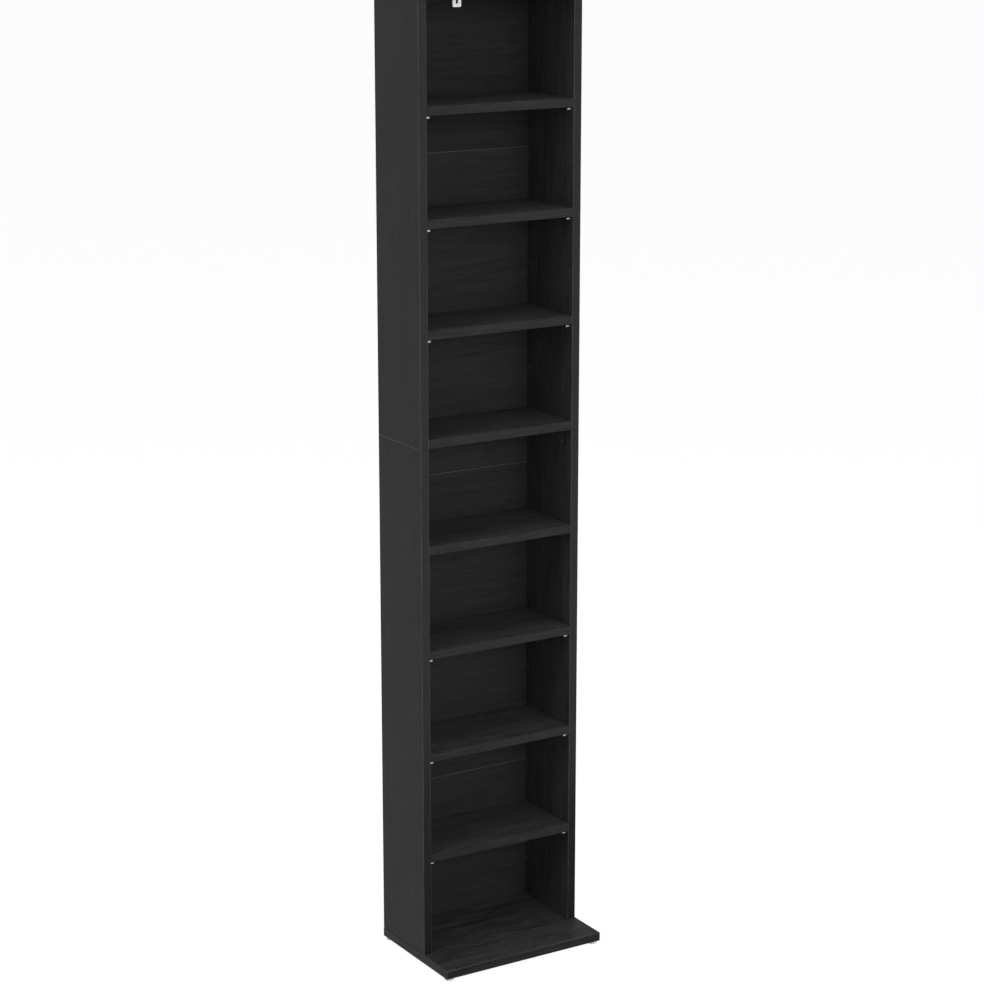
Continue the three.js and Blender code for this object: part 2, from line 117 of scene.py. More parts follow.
CUP_GAP = 0.1 * MM
PIN_NOSE = 0.6 * MM
PIN_BORE_DEPTH = 10.5 * MM
LONG_SCREW_BORE = 6.6 * MM
LONG_SCREW_DEPTH = 35.5 * MM
FOOT_NAIL_BORE = 2.2 * MM
FOOT_NAIL_DEPTH = 11.5 * MM
ANGLE_SCREW_BORE = 3.8 * MM
ANGLE_SCREW_DEPTH = 10 * MM
ANGLE_THICKNESS = 1.5 * MM
ANGLE_BEND = 1.2 * MM
ANGLE_NIP = 2 * MM
SHEET_EASING = 0.3 * MM
SHEET_GROWTH = 0.17 * MM
NAIL_MARGIN = 12 * MM
NAIL_OFFSETS = (-45 * MM, 45 * MM)

# Profiles in millimetres, as heights and radii, and cross recesses, as half length, half width and depth
SCREW_SEAT = [(-1, 5.2), (0.6, 5.2), (2.1, 3.7), (20, 3.7)]
LONG_SCREW = [(0, 4.4), (0.15, 4.9), (0.6, 5), (2.1, 3.5), (13, 3.5), (13.2, 3.1), (46, 3.1), (50, 1.5)]
HEX_SOCKET = [(-1, 2.3), (3, 2.3)]
CAM_BOLT = [
    (0, 2.2), (0.8, 3), (11, 3), (11, 3.5), (12.5, 3.5), (12.7, 2.5),
    (40.5, 2.5), (40.5, 1.8), (42.5, 1.8), (42.5, 2.7), (42.9, 3.1), (45.6, 3.1), (46, 2.7),
]
CAM_CROSS = (4, 0.7, 2)
CAM_ARROW = [(-1, 1.1), (0.5, 1.1)]
FOOT_RECESS = [(1.4, 1.0), (1.4, 2.6), (0.3, 3.1), (0, 3.5)]
FOOT_NAIL_HEAD = [(0.5, 1.2), (0.62, 1.9), (1.1, 2.1), (1.38, 1.9), (1.4, 0.9)]
ANGLE_SCREW_SHANK = [(2.2, 3.5), (2.2, 1.7), (10.2, 1.7), (13.2, 0.1)]
ANGLE_SCREW_CROSS = (2, 0.45, 1.2)

# The shade, contrast and gloss of the foil on each kind of board, and of its edging. All the boards have one foil, so
# the shades are painted light and shade: the faces of the shelves, the base and the right side are painted lighter,
# and each board's edging lighter or darker, for the light that falls on it
LOOKS_WITH_PAINTED_LIGHT = {
    "base": ((1.85, 1.2, 0.02), (0.5, 1.5, 0.105)),
    "top": ((1.0, 0.9, 0.05), (0.6, 0.7, 0.085)),
    "left": ((1.0, 0.3, 0.05), (0.43, 0.4, 0.05)),
    "right": ((1.25, 0.75, 0.05), (0.33, 0.4, 0.05)),
    "shelf": ((2.0, 0.9, 0.05), (0.84, 0.6, 0.018)),
}
# How rubbed a board is, with a highlight painted on its rounded edges in the same mask: along it, round its ends
# where it has edging, and round its ends where it has foil
WEAR_AND_HIGHLIGHT = {"base": (0.25, 0.25, 0.0), "top": (0.1, 0.1, 0.0), "left": (0.55, 0.0, 0.9), "right": (0.42, 0.0, 0.9)}
PLAIN_EDGES = (0.0, 0.0, 0.0)
SIDE_SEEDS = {("left", "lower"): 3.4, ("left", "upper"): 4.1, ("right", "lower"): 5.2, ("right", "upper"): 6.9}
FOIL_RINGS = 190.0
PRINT_RINGS = 110.0
EDGING_SHIFT = 0.37
EDGING_SEED = 0.9

# The size of each lamp, its place and what it looks at
LAMPS = {
    "key": ((4, 4), (-7.0, -1.2, 5.0), (0, 0, 0.8)),
    "front": ((8, 4.4), (-1.0, -8.4, 2.6), (0, 0, 0.8)),
    "sheen": ((0.7, 1.88), (0.2, -0.36, 1.1), (0, -0.03, 1.1)),
}
CAMERA_PLACE = (-2.152146, -3.488937, 1.806394)
CAMERA_TURN = (pi / 2 - 0.244, 0, -0.553095)
FLOOR_RADIUS = 30
FLOOR_GREY = 0.6
GLOW_STRENGTH = 1.25


# Sizes, colours and light that a user would change


def length(name, description, millimetres):
    return FloatProperty(name=name, description=description, default=millimetres * MM, unit="LENGTH")


def count(name, description, default, least):
    return IntProperty(name=name, description=description, default=default, min=least)


def tint(name, description, *default):
    return FloatVectorProperty(
        name=name, description=description, default=default, subtype="COLOR", size=3, min=0, max=1
    )


def amount(name, description, default, **limits):
    return FloatProperty(name=name, description=description, default=default, **limits)


class TowerSizes(PropertyGroup):
    arris: length("Arris radius", "Radius of the rounded edges where the boards have edging", 1.2)
    corner: length("Corner radius", "Radius of the upright corners of the base and the top, seen from above", 1.5)
    easing: length("Cut edge", "How far a plain cut edge is broken", 0.25)
    arc_steps: count("Arc steps", "Faces across each rounded edge", 6, 2)
    round_steps: count("Round steps", "Faces round a pin, screw or bore", 32, 12)
    bore_gap: length("Bore gap", "Room between a rod and the wall of its bore", 0.2)
    cover: length("Cover diameter", "Diameter of the discs over the cams of the top", 17)
    nail_head: length("Nail head", "Diameter of the heads of the nails in the back", 4.4)
    nail_spacing: length("Nail spacing", "Greatest distance between two nails along a side of the back", 140)


class TowerColours(PropertyGroup):
    foil_dark: tint("Foil, dark grain", "Darkest grain of the foil on the boards", 0.0065, 0.0065, 0.0065)
    foil_light: tint("Foil, light grain", "Lightest grain of the foil on the boards", 0.0345, 0.0343, 0.034)
    # The paler colour on rounded edges is partly rubbing and partly a painted highlight
    foil_rubbing_and_highlight: tint("Foil, rubbed", "Foil on the rounded edges where it is rubbed", 0.085, 0.085, 0.083)
    print_dark: tint("Back, dark grain", "Darkest grain printed on the back", 0.006, 0.006, 0.006)
    print_light: tint("Back, light grain", "Lightest grain printed on the back", 0.0245, 0.0245, 0.0245)
    print_edge: tint("Back, joint", "Ink and dust on the broken edges at the back's joints", 0.05, 0.048, 0.044)
    chipboard: tint("Chipboard", "Colour of the bare chips in bores and cut edges", 0.43, 0.30, 0.17)
    hardboard: tint("Hardboard", "Colour of the bare rear of the back", 0.27, 0.165, 0.088)
    nickel: tint("Nickel", "Colour of the plating on the shelf pins", 0.52, 0.515, 0.50)
    zinc: tint("Zinc", "Colour of the cams, bolts, screws and nails", 0.46, 0.47, 0.48)
    enamel: tint("Enamel", "Colour of the coating on the wall angle", 0.84, 0.84, 0.82)
    foot: tint("Feet", "Colour of the plastic feet", 0.47, 0.47, 0.46)
    cup: tint("Cups", "Colour of the plastic cups in the sides", 0.013, 0.013, 0.013)
    beech: tint("Beech", "Colour of the dowels", 0.50, 0.34, 0.20)


class TowerStudio(PropertyGroup):
    lens: amount("Lens", "Focal length that gives the photograph's angle of view, in millimetres", 94.9)
    ambient: amount("Ambient light", "Strength of the even light from all round", 0.35)
    key: amount("Key light", "Radiance of the large soft light high at the left, where 1 is white", 5.0)
    front: amount(
        "Front light",
        "Radiance of the soft light in front that reaches into the compartments, where 1 is white",
        6.3,
    )
    sheen: amount(
        "Sheen light", "Radiance of the panel at the front right that only gloss shows, where 1 is white", 3.6
    )
    floor_glow: amount(
        "Floor white",
        "How far the floor is lifted to white where the camera or a reflection sees it",
        0.74,
        subtype="FACTOR",
        min=0,
        max=1,
    )


def sizes():
    return bpy.context.scene.tower_sizes


def colours():
    return bpy.context.scene.tower_colours


# Surfaces worked out with numpy


class Body:
    """A closed surface: its points, the points of each face, how many each face has, each face corner's place in
    metres on the pattern, each face's finish, and how far each point stands on a rounded edge that is worn and
    painted with a highlight, from 0 to 1.
    """

    def __init__(self, points, corners, counts, places, finishes, wear_and_highlight):
        self.points, self.corners, self.counts = points, corners, counts
        self.places, self.finishes, self.wear_and_highlight = places, finishes, wear_and_highlight

    def but(self, **changes):
        """The same body with some of its values changed"""
        return Body(**{**vars(self), **changes})

    def placed(self, origin, along, beside):
        """The same body with its z axis turned along one direction and its x axis beside another"""
        basis = np.stack([beside, np.cross(along, beside), along])
        return self.but(points=self.points @ basis + origin)

    def finished(self, finish):
        """The same body with one finish on all its faces"""
        return self.but(finishes=np.full_like(self.finishes, finish))

    def faces(self):
        return [face.tolist() for face in np.split(self.corners, np.cumsum(self.counts)[:-1])]


def gathered(bodies):
    """Several bodies as one, with the point numbers of each moved up past those before it"""
    starts = np.cumsum([0] + [len(body.points) for body in bodies[:-1]])
    whole = {name: np.concatenate([vars(body)[name] for body in bodies]) for name in vars(bodies[0])}
    whole["corners"] = np.concatenate([body.corners + start for body, start in zip(bodies, starts)])
    return Body(**whole)


def sleeve(rings, left, right, along, end_places, finishes=0, ends=(0, 0), wear_and_highlight=0.0):
    """A closed body over a grid of points. The skin runs from each ring of the grid to the next, and a flat face
    closes the first and the last ring. A column of the skin runs from left to right across the pattern, and its
    rows run along it.
    """
    rows, columns = rings.shape[:2]
    here = np.arange(rows * columns).reshape(rows, columns)
    beside = np.roll(here, -1, axis=1)
    quads = np.stack([here[:-1], beside[:-1], beside[1:], here[1:]], axis=-1)
    shape = (rows - 1, columns)
    across = np.stack([np.broadcast_to(side, shape) for side in (left, right, right, left)], axis=-1)
    up = np.stack([np.broadcast_to(row[:, None], shape) for row in (along[:-1], along[:-1], along[1:], along[1:])], -1)
    return Body(
        rings.reshape(-1, 3),
        np.concatenate([quads.ravel(), here[0, ::-1], here[-1]]),
        np.concatenate([np.full((rows - 1) * columns, 4), [columns, columns]]),
        np.concatenate([np.stack([up, across], -1).reshape(-1, 2), end_places[0][::-1], end_places[1]]),
        np.concatenate([np.broadcast_to(finishes, shape).ravel(), ends]),
        np.broadcast_to(wear_and_highlight, (rows, columns)).ravel(),
    )


def outline(low, high, radii, steps, inset=0.0):
    """Points round a rectangle with rounded corners, anticlockwise from its lowest corner. A corner's circle has its
    centre one radius inside both edges, and a point is the centre plus the radius times the cosine and sine of
    its angle. An inset moves the edges inwards and takes as much from the radii.
    """
    turn = np.linspace(0, pi / 2, steps + 1)
    angle = (np.array([pi, 1.5 * pi, 0, pi / 2])[:, None] + turn).ravel()
    inset = np.asarray(inset, float)[..., None]
    radius = np.maximum(np.repeat(radii, steps + 1) - inset, LEAST_RADIUS)[..., None]
    side = np.repeat([[-1, -1], [1, -1], [1, 1], [-1, 1]], steps + 1, axis=0)
    edge = np.where(side < 0, low + inset[..., None], high - inset[..., None])
    return edge - side * radius + radius * np.stack([np.cos(angle), np.sin(angle)], -1)


def eased(low, high, radius, steps):
    """Places from one end to the other, and the inset of the outline at each: at either end a quarter circle, whose
    place is the radius less its cosine and whose inset is the radius less its sine
    """
    turn = np.linspace(0, pi / 2, steps + 1)
    place, inset = radius * (1 - np.cos(turn)), radius * (1 - np.sin(turn))
    return np.concatenate([low + place, (high - place)[::-1]]), np.concatenate([inset, inset[::-1]])


def board(low, high, axis, radii, easing, sides, ends, steps, grain_along=True, wear_and_highlight=PLAIN_EDGES):
    """A board from corner to corner: a rounded rectangle carried along one axis and eased at both ends. Its four
    sides and two ends are foil faces, edging or raw. The wear, which is partly a painted highlight, is greatest
    halfway round an arris, as the sine of twice the angle. It has one value along the board, one round an end where
    the side has edging, and one round an end where the side has foil.
    """
    low, high = np.array(low), np.array(high)
    plane = [(axis + 1) % 3, (axis + 2) % 3]
    places, insets = eased(low[axis], high[axis], easing, steps)
    section = outline(low[plane], high[plane], radii, steps, insets)
    rings = np.empty((*section.shape[:2], 3))
    rings[..., axis] = places[:, None]
    rings[..., plane] = section
    plain = outline(low[plane], high[plane], radii, steps)
    run = np.cumsum(np.linalg.norm(np.roll(plain, -1, axis=0) - plain, axis=1))
    kinds = np.concatenate([np.repeat([max(sides[k - 1], sides[k]), sides[k]], [steps, 1]) for k in range(4)])
    shift = np.where(kinds == EDGING, EDGING_SHIFT, 0.0)
    left, right = np.concatenate([[0], run[:-1]]) + shift, run + shift
    bend = np.sin(2 * np.linspace(0, pi / 2, steps + 1))
    # Wear and painted highlight halfway round each arris and round the ends
    round_corner = wear_and_highlight[0] * np.repeat(np.array(radii) > RUBBED_AND_HIGHLIT_RADIUS, steps + 1) * np.tile(bend, 4)
    at_end = np.where(np.array(sides) == FACE, wear_and_highlight[2], wear_and_highlight[1])
    round_end = np.concatenate([np.linspace(at_end[k - 1], at_end[k], steps + 1) for k in range(4)])
    worn_and_highlit = np.maximum(round_corner, np.concatenate([bend, bend])[:, None] * round_end)
    flat = rings[[0, -1]][..., plane if axis == 2 else plane[::-1]]
    body = sleeve(rings, left, right, places, flat, kinds, ends, worn_and_highlit)
    if not grain_along:
        skin = 4 * (len(places) - 1) * len(run)
        body.places[:skin] = body.places[:skin, ::-1]
    return body


def turned(profile, steps):
    """A round body about the z axis. A profile lists (height, radius), and each becomes a circle of points: the
    radius times the cosine and sine of an angle, at that height.
    """
    height, radius = np.array(profile, float).T
    angle = np.arange(steps) * 2 * pi / steps
    circle = radius[:, None, None] * np.stack([np.cos(angle), np.sin(angle)], -1)
    rings = np.concatenate([circle, np.broadcast_to(height[:, None, None], (len(height), steps, 1))], -1)
    run = np.concatenate([[0], np.cumsum(np.hypot(np.diff(height), np.diff(radius)))])
    left = angle * radius.max()
    return sleeve(rings, left, left + left[1], run, rings[[0, -1]][..., :2])


def mm(values):
    """Sizes given in millimetres, as metres"""
    return np.array(values, float) * MM


def arc(height, radius, size, start, end, steps=5):
    """Profile points of an arc about a centre at a height and radius, from one angle to another, where 0 points
    outwards and 90 degrees up
    """
    turn = np.radians(np.linspace(start, end, steps + 1))
    return list(zip(height + size * np.sin(turn), radius + size * np.cos(turn)))


def rod(length, radius, rounding):
    """A round rod with a quarter circle round each end"""
    centre = radius - rounding
    profile = arc(rounding, centre, rounding, -90, 0) + arc(length - rounding, centre, rounding, 0, 90)
    return turned(profile, sizes().round_steps)


def bore(mouth, into, diameter, depth, fineness=1):
    """A cutter for a round bore, from just outside its mouth to its end"""
    profile = [(-OVERRUN, diameter / 2), (depth, diameter / 2)]
    return turned(profile, fineness * sizes().round_steps).placed(mouth, into, np.roll(into, 1))


def block(low, high):
    """A plain cutter from corner to corner"""
    return board(low, high, 2, [LEAST_RADIUS] * 4, LEAST_RADIUS, [FACE] * 4, [FACE] * 2, 2)


def cross(arm, half, depth):
    """A cutter for a cross recess: the three corners of one arm, turned by a quarter each time, and carried from just
    outside the mouth to the depth
    """
    corner = np.array([[arm, -half], [arm, half], [half, half]])
    quarter = np.array([[0, 1], [-1, 0]])
    heights = np.array([-OVERRUN, depth])
    rings = np.empty((2, 12, 3))
    rings[..., :2] = np.concatenate([corner @ np.linalg.matrix_power(quarter, turn) for turn in range(4)])
    rings[..., 2] = heights[:, None]
    left = np.arange(12) * arm
    return sleeve(rings, left, left + arm, heights, rings[..., :2])


def new_object(name, body, finishes):
    """An object at the origin with the body as its mesh, in metres, with a pattern map and the wear and painted
    highlight of its edges
    """
    mesh = bpy.data.meshes.new(name)
    mesh.from_pydata(body.points, [], body.faces())
    mesh.uv_layers.new(name="pattern").data.foreach_set("uv", body.places.ravel())
    mesh.attributes.new("wear_and_highlight", "FLOAT", "POINT").data.foreach_set("value", body.wear_and_highlight)
    for finish in finishes:
        mesh.materials.append(finish)
    mesh.polygons.foreach_set("material_index", body.finishes.astype(np.int32))
    mesh.polygons.foreach_set("use_smooth", np.ones(len(body.counts), bool))
    piece = bpy.data.objects.new(name, mesh)
    bpy.context.scene.collection.objects.link(piece)
    return piece


def settle(piece):
    """Makes what a piece's modifiers give its own mesh"""
    bpy.context.view_layer.update()
    depsgraph = bpy.context.evaluated_depsgraph_get()
    made = bpy.data.meshes.new_from_object(
        piece.evaluated_get(depsgraph), preserve_all_data_layers=True, depsgraph=depsgraph
    )
    piece.modifiers.clear()
    rough, piece.data = piece.data, made
    bpy.data.meshes.remove(rough)
    made.name = piece.name


def make(name, body, finishes, replaces=(), cutters=(), cut_finish=None, carrier="carcass"):
    """A finished piece: its body less its cutters, with the normals of its rounded edges eased into its flat faces"""
    piece = new_object(name, body, finishes)
    if cutters:
        tool = new_object(name + "_cutter", gathered(cutters).finished(0), [cut_finish or finishes[0]])
        cut = piece.modifiers.new("Cut", "BOOLEAN")
        cut.solver, cut.operation, cut.object, cut.material_mode = "EXACT", "DIFFERENCE", tool, "TRANSFER"
        cut.use_self = True
        settle(piece)
        bpy.data.meshes.remove(tool.data)
    piece.data.set_sharp_from_angle(angle=radians(35))
    weighted = piece.modifiers.new("Weighted normals", "WEIGHTED_NORMAL")
    weighted.keep_sharp = True
    settle(piece)
    if not piece.data.polygons:
        raise RuntimeError(f"{name} came out with no faces")
    if replaces:
        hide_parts(*replaces)
    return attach(piece, carrier)


def make_board(name, node, body, look, finish, seed, cutters=(), carrier="carcass"):
    """A board in foil with its edging, in the place of a CAD node"""
    finishes = [
        foil(f"foil_{finish}", seed, *LOOKS_WITH_PAINTED_LIGHT[look][0]),
        foil(f"edging_{finish}", seed + EDGING_SEED, *LOOKS_WITH_PAINTED_LIGHT[look][1]),
        chipboard(),
    ]
    # The walls of the bores take the chipboard painted dark as shade
    make(name, body, finishes, [node], cutters, bored_chipboard(), carrier)


def make_fitting(name, body, node=None, cutters=()):
    """A piece in zinc-plated steel, in the place of a CAD node or of none"""
    make(name, body, [zinc()], [node] if node else (), cutters)


# Finishes


class Value:
    """The output of a node, on which arithmetic adds Math nodes"""

    def __init__(self, nodes, socket):
        self.nodes, self.socket = nodes, socket

    def __add__(self, other):
        return self.nodes.maths("ADD", self, other)

    def __radd__(self, other):
        return self.nodes.maths("ADD", other, self)

    def __sub__(self, other):
        return self.nodes.maths("SUBTRACT", self, other)

    def __rsub__(self, other):
        return self.nodes.maths("SUBTRACT", other, self)

    def __mul__(self, other):
        return self.nodes.maths("MULTIPLY", self, other)

    def __rmul__(self, other):
        return self.nodes.maths("MULTIPLY", other, self)


class Nodes:
    """The node tree of a material or the world"""

    def __init__(self, owner):
        owner.use_nodes = True
        self.owner, self.tree = owner, owner.node_tree
        self.tree.nodes.clear()

    def node(self, kind, settings=None, values=None, output=0):
        """Adds a node with its settings, then links or sets its inputs by name or number, and gives one output"""
        node = self.tree.nodes.new(kind)
        for name, setting in (settings or {}).items():
            setattr(node, name, setting)
        inputs = [socket for socket in node.inputs if socket.enabled]
        for key, value in (values or {}).items():
            socket = inputs[key] if isinstance(key, int) else next(s for s in inputs if s.name == key)
            if isinstance(value, Value):
                self.tree.links.new(value.socket, socket)
            else:
                socket.default_value = value
        outputs = [socket for socket in node.outputs if socket.enabled]
        if not outputs:
            return None
        return Value(self, outputs[output] if isinstance(output, int) else node.outputs[output])

    def maths(self, operation, *values):
        return self.node("ShaderNodeMath", {"operation": operation}, dict(enumerate(values)))

    def object_place(self):
        return self.node("ShaderNodeTexCoord", output="Object")

    def mapped(self, place, location=(0, 0, 0), rotation=(0, 0, 0), scale=(1, 1, 1)):
        values = {"Vector": place, "Location": location, "Rotation": rotation, "Scale": scale}
        return self.node("ShaderNodeMapping", None, values)

    def split(self, place):
        return [self.node("ShaderNodeSeparateXYZ", None, {0: place}, axis) for axis in range(3)]

    def joined(self, x, y, z):
        return self.node("ShaderNodeCombineXYZ", None, {0: x, 1: y, 2: z})

    def noise(self, place, scale=1.0, detail=2.0, roughness=0.5):
        values = {"Vector": place, "Scale": scale, "Detail": detail, "Roughness": roughness}
        return self.node("ShaderNodeTexNoise", None, values)

    def stretched(self, place, scale, detail=2.0, rotation=(0, 0, 0)):
        """Noise that is drawn out along the axes where its scale is small"""
        return self.noise(self.mapped(place, rotation=rotation, scale=scale), 1.0, detail)

    def cells(self, place):
        """Cells of random colours"""
        return self.node("ShaderNodeTexVoronoi", None, {"Vector": place, "Scale": 1.0}, "Color")

    def between(self, value, low, high, low_gives=0.0, high_gives=1.0):
        """A smooth step from one result at or below a low value to another at or above a high one"""
        values = {0: value, 1: low, 2: high, 3: low_gives, 4: high_gives}
        return self.node("ShaderNodeMapRange", {"interpolation_type": "SMOOTHSTEP"}, values)

    def mixed(self, factor, first, second):
        """A colour between two, at a factor from 0 to 1"""
        first, second = [colour if isinstance(colour, Value) else (*colour, 1) for colour in (first, second)]
        return self.node("ShaderNodeMix", {"data_type": "RGBA"}, {"Factor": factor, "A": first, "B": second})

    def bumped(self, height, distance, strength):
        values = {"Height": height, "Distance": distance, "Strength": strength}
        return self.node("ShaderNodeBump", None, values)

    def principled(self, **sockets):
        """Ends the tree in a Principled shader, whose sockets are named in words joined by underscores, and gives
        the material
        """
        values = {name.replace("_", " "): value for name, value in sockets.items()}
        shader = self.node("ShaderNodeBsdfPrincipled", None, values)
        self.node("ShaderNodeOutputMaterial", None, {"Surface": shader})
        return self.owner


def new_finish(name):
    return Nodes(bpy.data.materials.new(name))


def toned(colour, factor):
    return [min(1.0, factor * part) for part in colour]


def wood_grain(nodes, seed, contrast, figure):
    """Grain on the pattern map, with u along the fibres. The distance from a wandering pith line, taken with a depth
    that changes along the board, gives growth rings that run into arches. Stretched noise gives clouds, streaks,
    flames, fibres and pores. Returns the tone, which lies round a half and spreads with the contrast, and the pores,
    both from 0 to 1.
    """

    def fibrous(along, across, shift=0.0, detail=1, roughness=0.5):
        """Noise drawn out along the fibres"""
        place = nodes.joined(u * along, v * across, seed + shift)
        return nodes.noise(place, detail=detail, roughness=roughness)

    pattern = nodes.node("ShaderNodeUVMap", {"uv_map": "pattern"})
    u, v, _ = nodes.split(nodes.mapped(pattern, location=(0.83 * seed, 0.57 * seed, 0)))
    wander = fibrous(1.9, 8, detail=2) - 0.5
    ripple = fibrous(11, 42, 3.1) - 0.5
    v = v + wander * 0.036 + ripple * 0.0022
    pith = nodes.maths("PINGPONG", v, 0.075) - 0.034
    depth = nodes.noise(nodes.joined(u * 1.6, seed * 1.7, 4.0), detail=1) * 0.07 - 0.012
    ring = nodes.maths("SQRT", pith * pith + depth * depth) * figure
    phase = nodes.maths("FRACT", ring + fibrous(9, 70, detail=2) * 0.9)
    late = nodes.between(phase, 0.45, 0.86) * nodes.between(phase, 0.92, 1.0, 1.0, 0.0)
    clouds = fibrous(6, 55, 5.2, detail=2) - 0.5
    streaks = fibrous(19, 250, detail=4, roughness=0.6) - 0.5
    patches = nodes.between(fibrous(8, 34, 9.1), 0.42, 0.62, 0.2, 1.1)
    lick = fibrous(26, 240, 2.4)
    flames = nodes.between(lick, 0.63, 0.76) - nodes.between(lick, 0.25, 0.38, 1.0, 0.0)
    fibres = fibrous(70, 1500, detail=2) - 0.5
    dashes = fibrous(55, 2600, 7.7)
    pores = nodes.between(dashes + (1 - late) * 0.06, 0.62, 0.70)
    signal = clouds * 1.7 + streaks * patches * 2.2 + flames * 0.7 + fibres * 0.8 - (late - 0.25) * 0.4
    tone = signal * (0.5 * contrast) + 0.5
    return nodes.maths("MINIMUM", nodes.maths("MAXIMUM", tone, 0.0), 1.0), pores


def foil(name, seed, shade, contrast, gloss=0.05):
    """Satin foil with embossed pores, a little paler and smoother on its rounded edges, partly where they are rubbed
    and partly as a painted highlight
    """
    nodes = new_finish(name)
    dark, light = toned(colours().foil_dark, shade), toned(colours().foil_light, shade)
    tone, pores = wood_grain(nodes, seed, contrast, FOIL_RINGS)
    wear_and_highlight = nodes.node("ShaderNodeAttribute", {"attribute_name": "wear_and_highlight"}, output="Fac")
    handled = nodes.noise(nodes.mapped(nodes.object_place(), location=(seed, 0, 0)), 9, detail=3)
    knocks = nodes.noise(nodes.mapped(nodes.object_place(), location=(0, seed, 0)), 130, detail=2)
    # Paler, smoother foil on rounded edges: partly rubbing, partly a painted highlight
    rubbing_and_highlight = wear_and_highlight * nodes.between(handled + (knocks - 0.5) * 0.5, 0.30, 0.70, 0.7, 1.3)
    colour = nodes.mixed(tone * (1 - pores * 0.5 * contrast), dark, light)
    fine = nodes.noise(nodes.object_place(), 2600, detail=1)
    return nodes.principled(
        Base_Color=nodes.mixed(rubbing_and_highlight, colour, colours().foil_rubbing_and_highlight),
        Roughness=0.42 + pores * 0.16 + (handled - 0.5) * 0.16 - rubbing_and_highlight * 0.08,
        Normal=nodes.bumped(tone * 0.5 - pores + fine * 0.18, 0.05 * MM, 0.8),
        Specular_IOR_Level=gloss,
    )


def printed(name, seed, shade):
    """The printed side of the hardboard: flatter and less glossy than foil, with plain streaks"""
    nodes = new_finish(name)
    dark, light = toned(colours().print_dark, shade), toned(colours().print_light, shade)
    tone, pores = wood_grain(nodes, seed, 0.48, PRINT_RINGS)
    speckle = nodes.noise(nodes.object_place(), 900, detail=2)
    return nodes.principled(
        Base_Color=nodes.mixed(tone * (1 - pores * 0.3), dark, light),
        Roughness=0.56 + (speckle - 0.5) * 0.2,
        Normal=nodes.bumped(speckle * 0.6 - pores * 0.4, 0.03 * MM, 0.7),
        Specular_IOR_Level=0.012,
    )


def bare_chipboard(name, pale):
    """Pressed chips: cells stretched one way and the other, each of its own shade, with dark gaps between"""
    nodes = new_finish(name)
    place = nodes.object_place()
    long_chips = nodes.cells(nodes.mapped(place, scale=(330, 900, 1100)))
    short_chips = nodes.cells(nodes.mapped(place, rotation=(0.6, 0.3, 0.9), scale=(1300, 500, 900)))
    shade = nodes.split(long_chips)[0] * 0.6 + nodes.split(short_chips)[1] * 0.4
    gap = nodes.between(nodes.noise(place, 800, detail=3), 0.40, 0.30)
    return nodes.principled(
        Base_Color=nodes.mixed(shade * (1 - gap * 0.9), toned(pale, 0.45), pale),
        Roughness=0.86 - shade * 0.08,
        Normal=nodes.bumped(shade * 0.4 - gap, 0.25 * MM, 0.8),
        Specular_IOR_Level=0.3,
    )


def bare_hardboard(name, brown):
    """Pressed brown fibre: cloudy, with short pale and dark fibres lying every way"""
    nodes = new_finish(name)
    place = nodes.object_place()
    cloud = nodes.noise(place, 14, detail=4, roughness=0.6)
    level = nodes.stretched(place, (260, 1, 2100))
    upright = nodes.stretched(place, (1900, 1, 300), rotation=(0, 0.9, 0))
    fleck = nodes.between(level, 0.62, 0.72) - nodes.between(upright, 0.63, 0.73)
    mottle = nodes.noise(place, 420, detail=3)
    tone = 0.5 + (cloud - 0.5) * 0.7 + fleck * 0.3 + (mottle - 0.5) * 0.6
    return nodes.principled(
        Base_Color=nodes.mixed(tone, toned(brown, 0.72), toned(brown, 1.22)),
        Roughness=0.66 + (mottle - 0.5) * 0.2,
        Normal=nodes.bumped(mottle + fleck * 0.2, 0.06 * MM, 0.7),
        Specular_IOR_Level=0.35,
    )


def plated(name, colour, roughness, turning):
    """Plated steel: fine marks of the lathe across the rod, small scratches and a breath of dulled patches"""
    nodes = new_finish(name)
    place = nodes.object_place()
    marks = nodes.stretched(place, (9000, 160, 160), detail=1)
    dull = nodes.between(nodes.noise(place, 230, detail=3), 0.45, 0.75)
    scratch = nodes.between(nodes.stretched(place, (300, 2500, 900)), 0.66, 0.72)
    return nodes.principled(
        Base_Color=nodes.mixed(dull * 0.6 + scratch * 0.2, colour, toned(colour, 0.72)),
        Metallic=1.0,
        Roughness=roughness + dull * 0.14 + (marks - 0.5) * 0.1 + scratch * 0.1,
        Normal=nodes.bumped(marks * turning - scratch * 0.5, 0.012 * MM, 0.8),
    )


def enamelled(name, white):
    """White enamel on bent steel, with the faint ripple of a sprayed coat, a little grey in its low spots"""
    nodes = new_finish(name)
    place = nodes.object_place()
    ripple = nodes.noise(place, 700, detail=2)
    dust = nodes.between(nodes.noise(place, 160, detail=4), 0.5, 0.8)
    return nodes.principled(
        Base_Color=nodes.mixed(dust * 0.5, white, toned(white, 0.82)),
        Roughness=0.32 + dust * 0.12 + (ripple - 0.5) * 0.08,
        Normal=nodes.bumped(ripple, 0.05 * MM, 0.5),
    )


def moulded(name, colour):
    """Moulded plastic with the mould's fine spark texture, and scuffs that are paler and duller"""
    nodes = new_finish(name)
    place = nodes.object_place()
    spark = nodes.noise(place, 1500, detail=2)
    scuff = nodes.between(nodes.stretched(place, (180, 520, 300), detail=4), 0.56, 0.74)
    return nodes.principled(
        Base_Color=nodes.mixed(scuff * 0.4 + (spark - 0.5) * 0.3 + 0.15, colour, toned(colour, 1.27)),
        Roughness=0.5 + scuff * 0.1 + (spark - 0.5) * 0.12,
        Normal=nodes.bumped(spark, 0.04 * MM, 0.6),
        Specular_IOR_Level=0.3,
    )


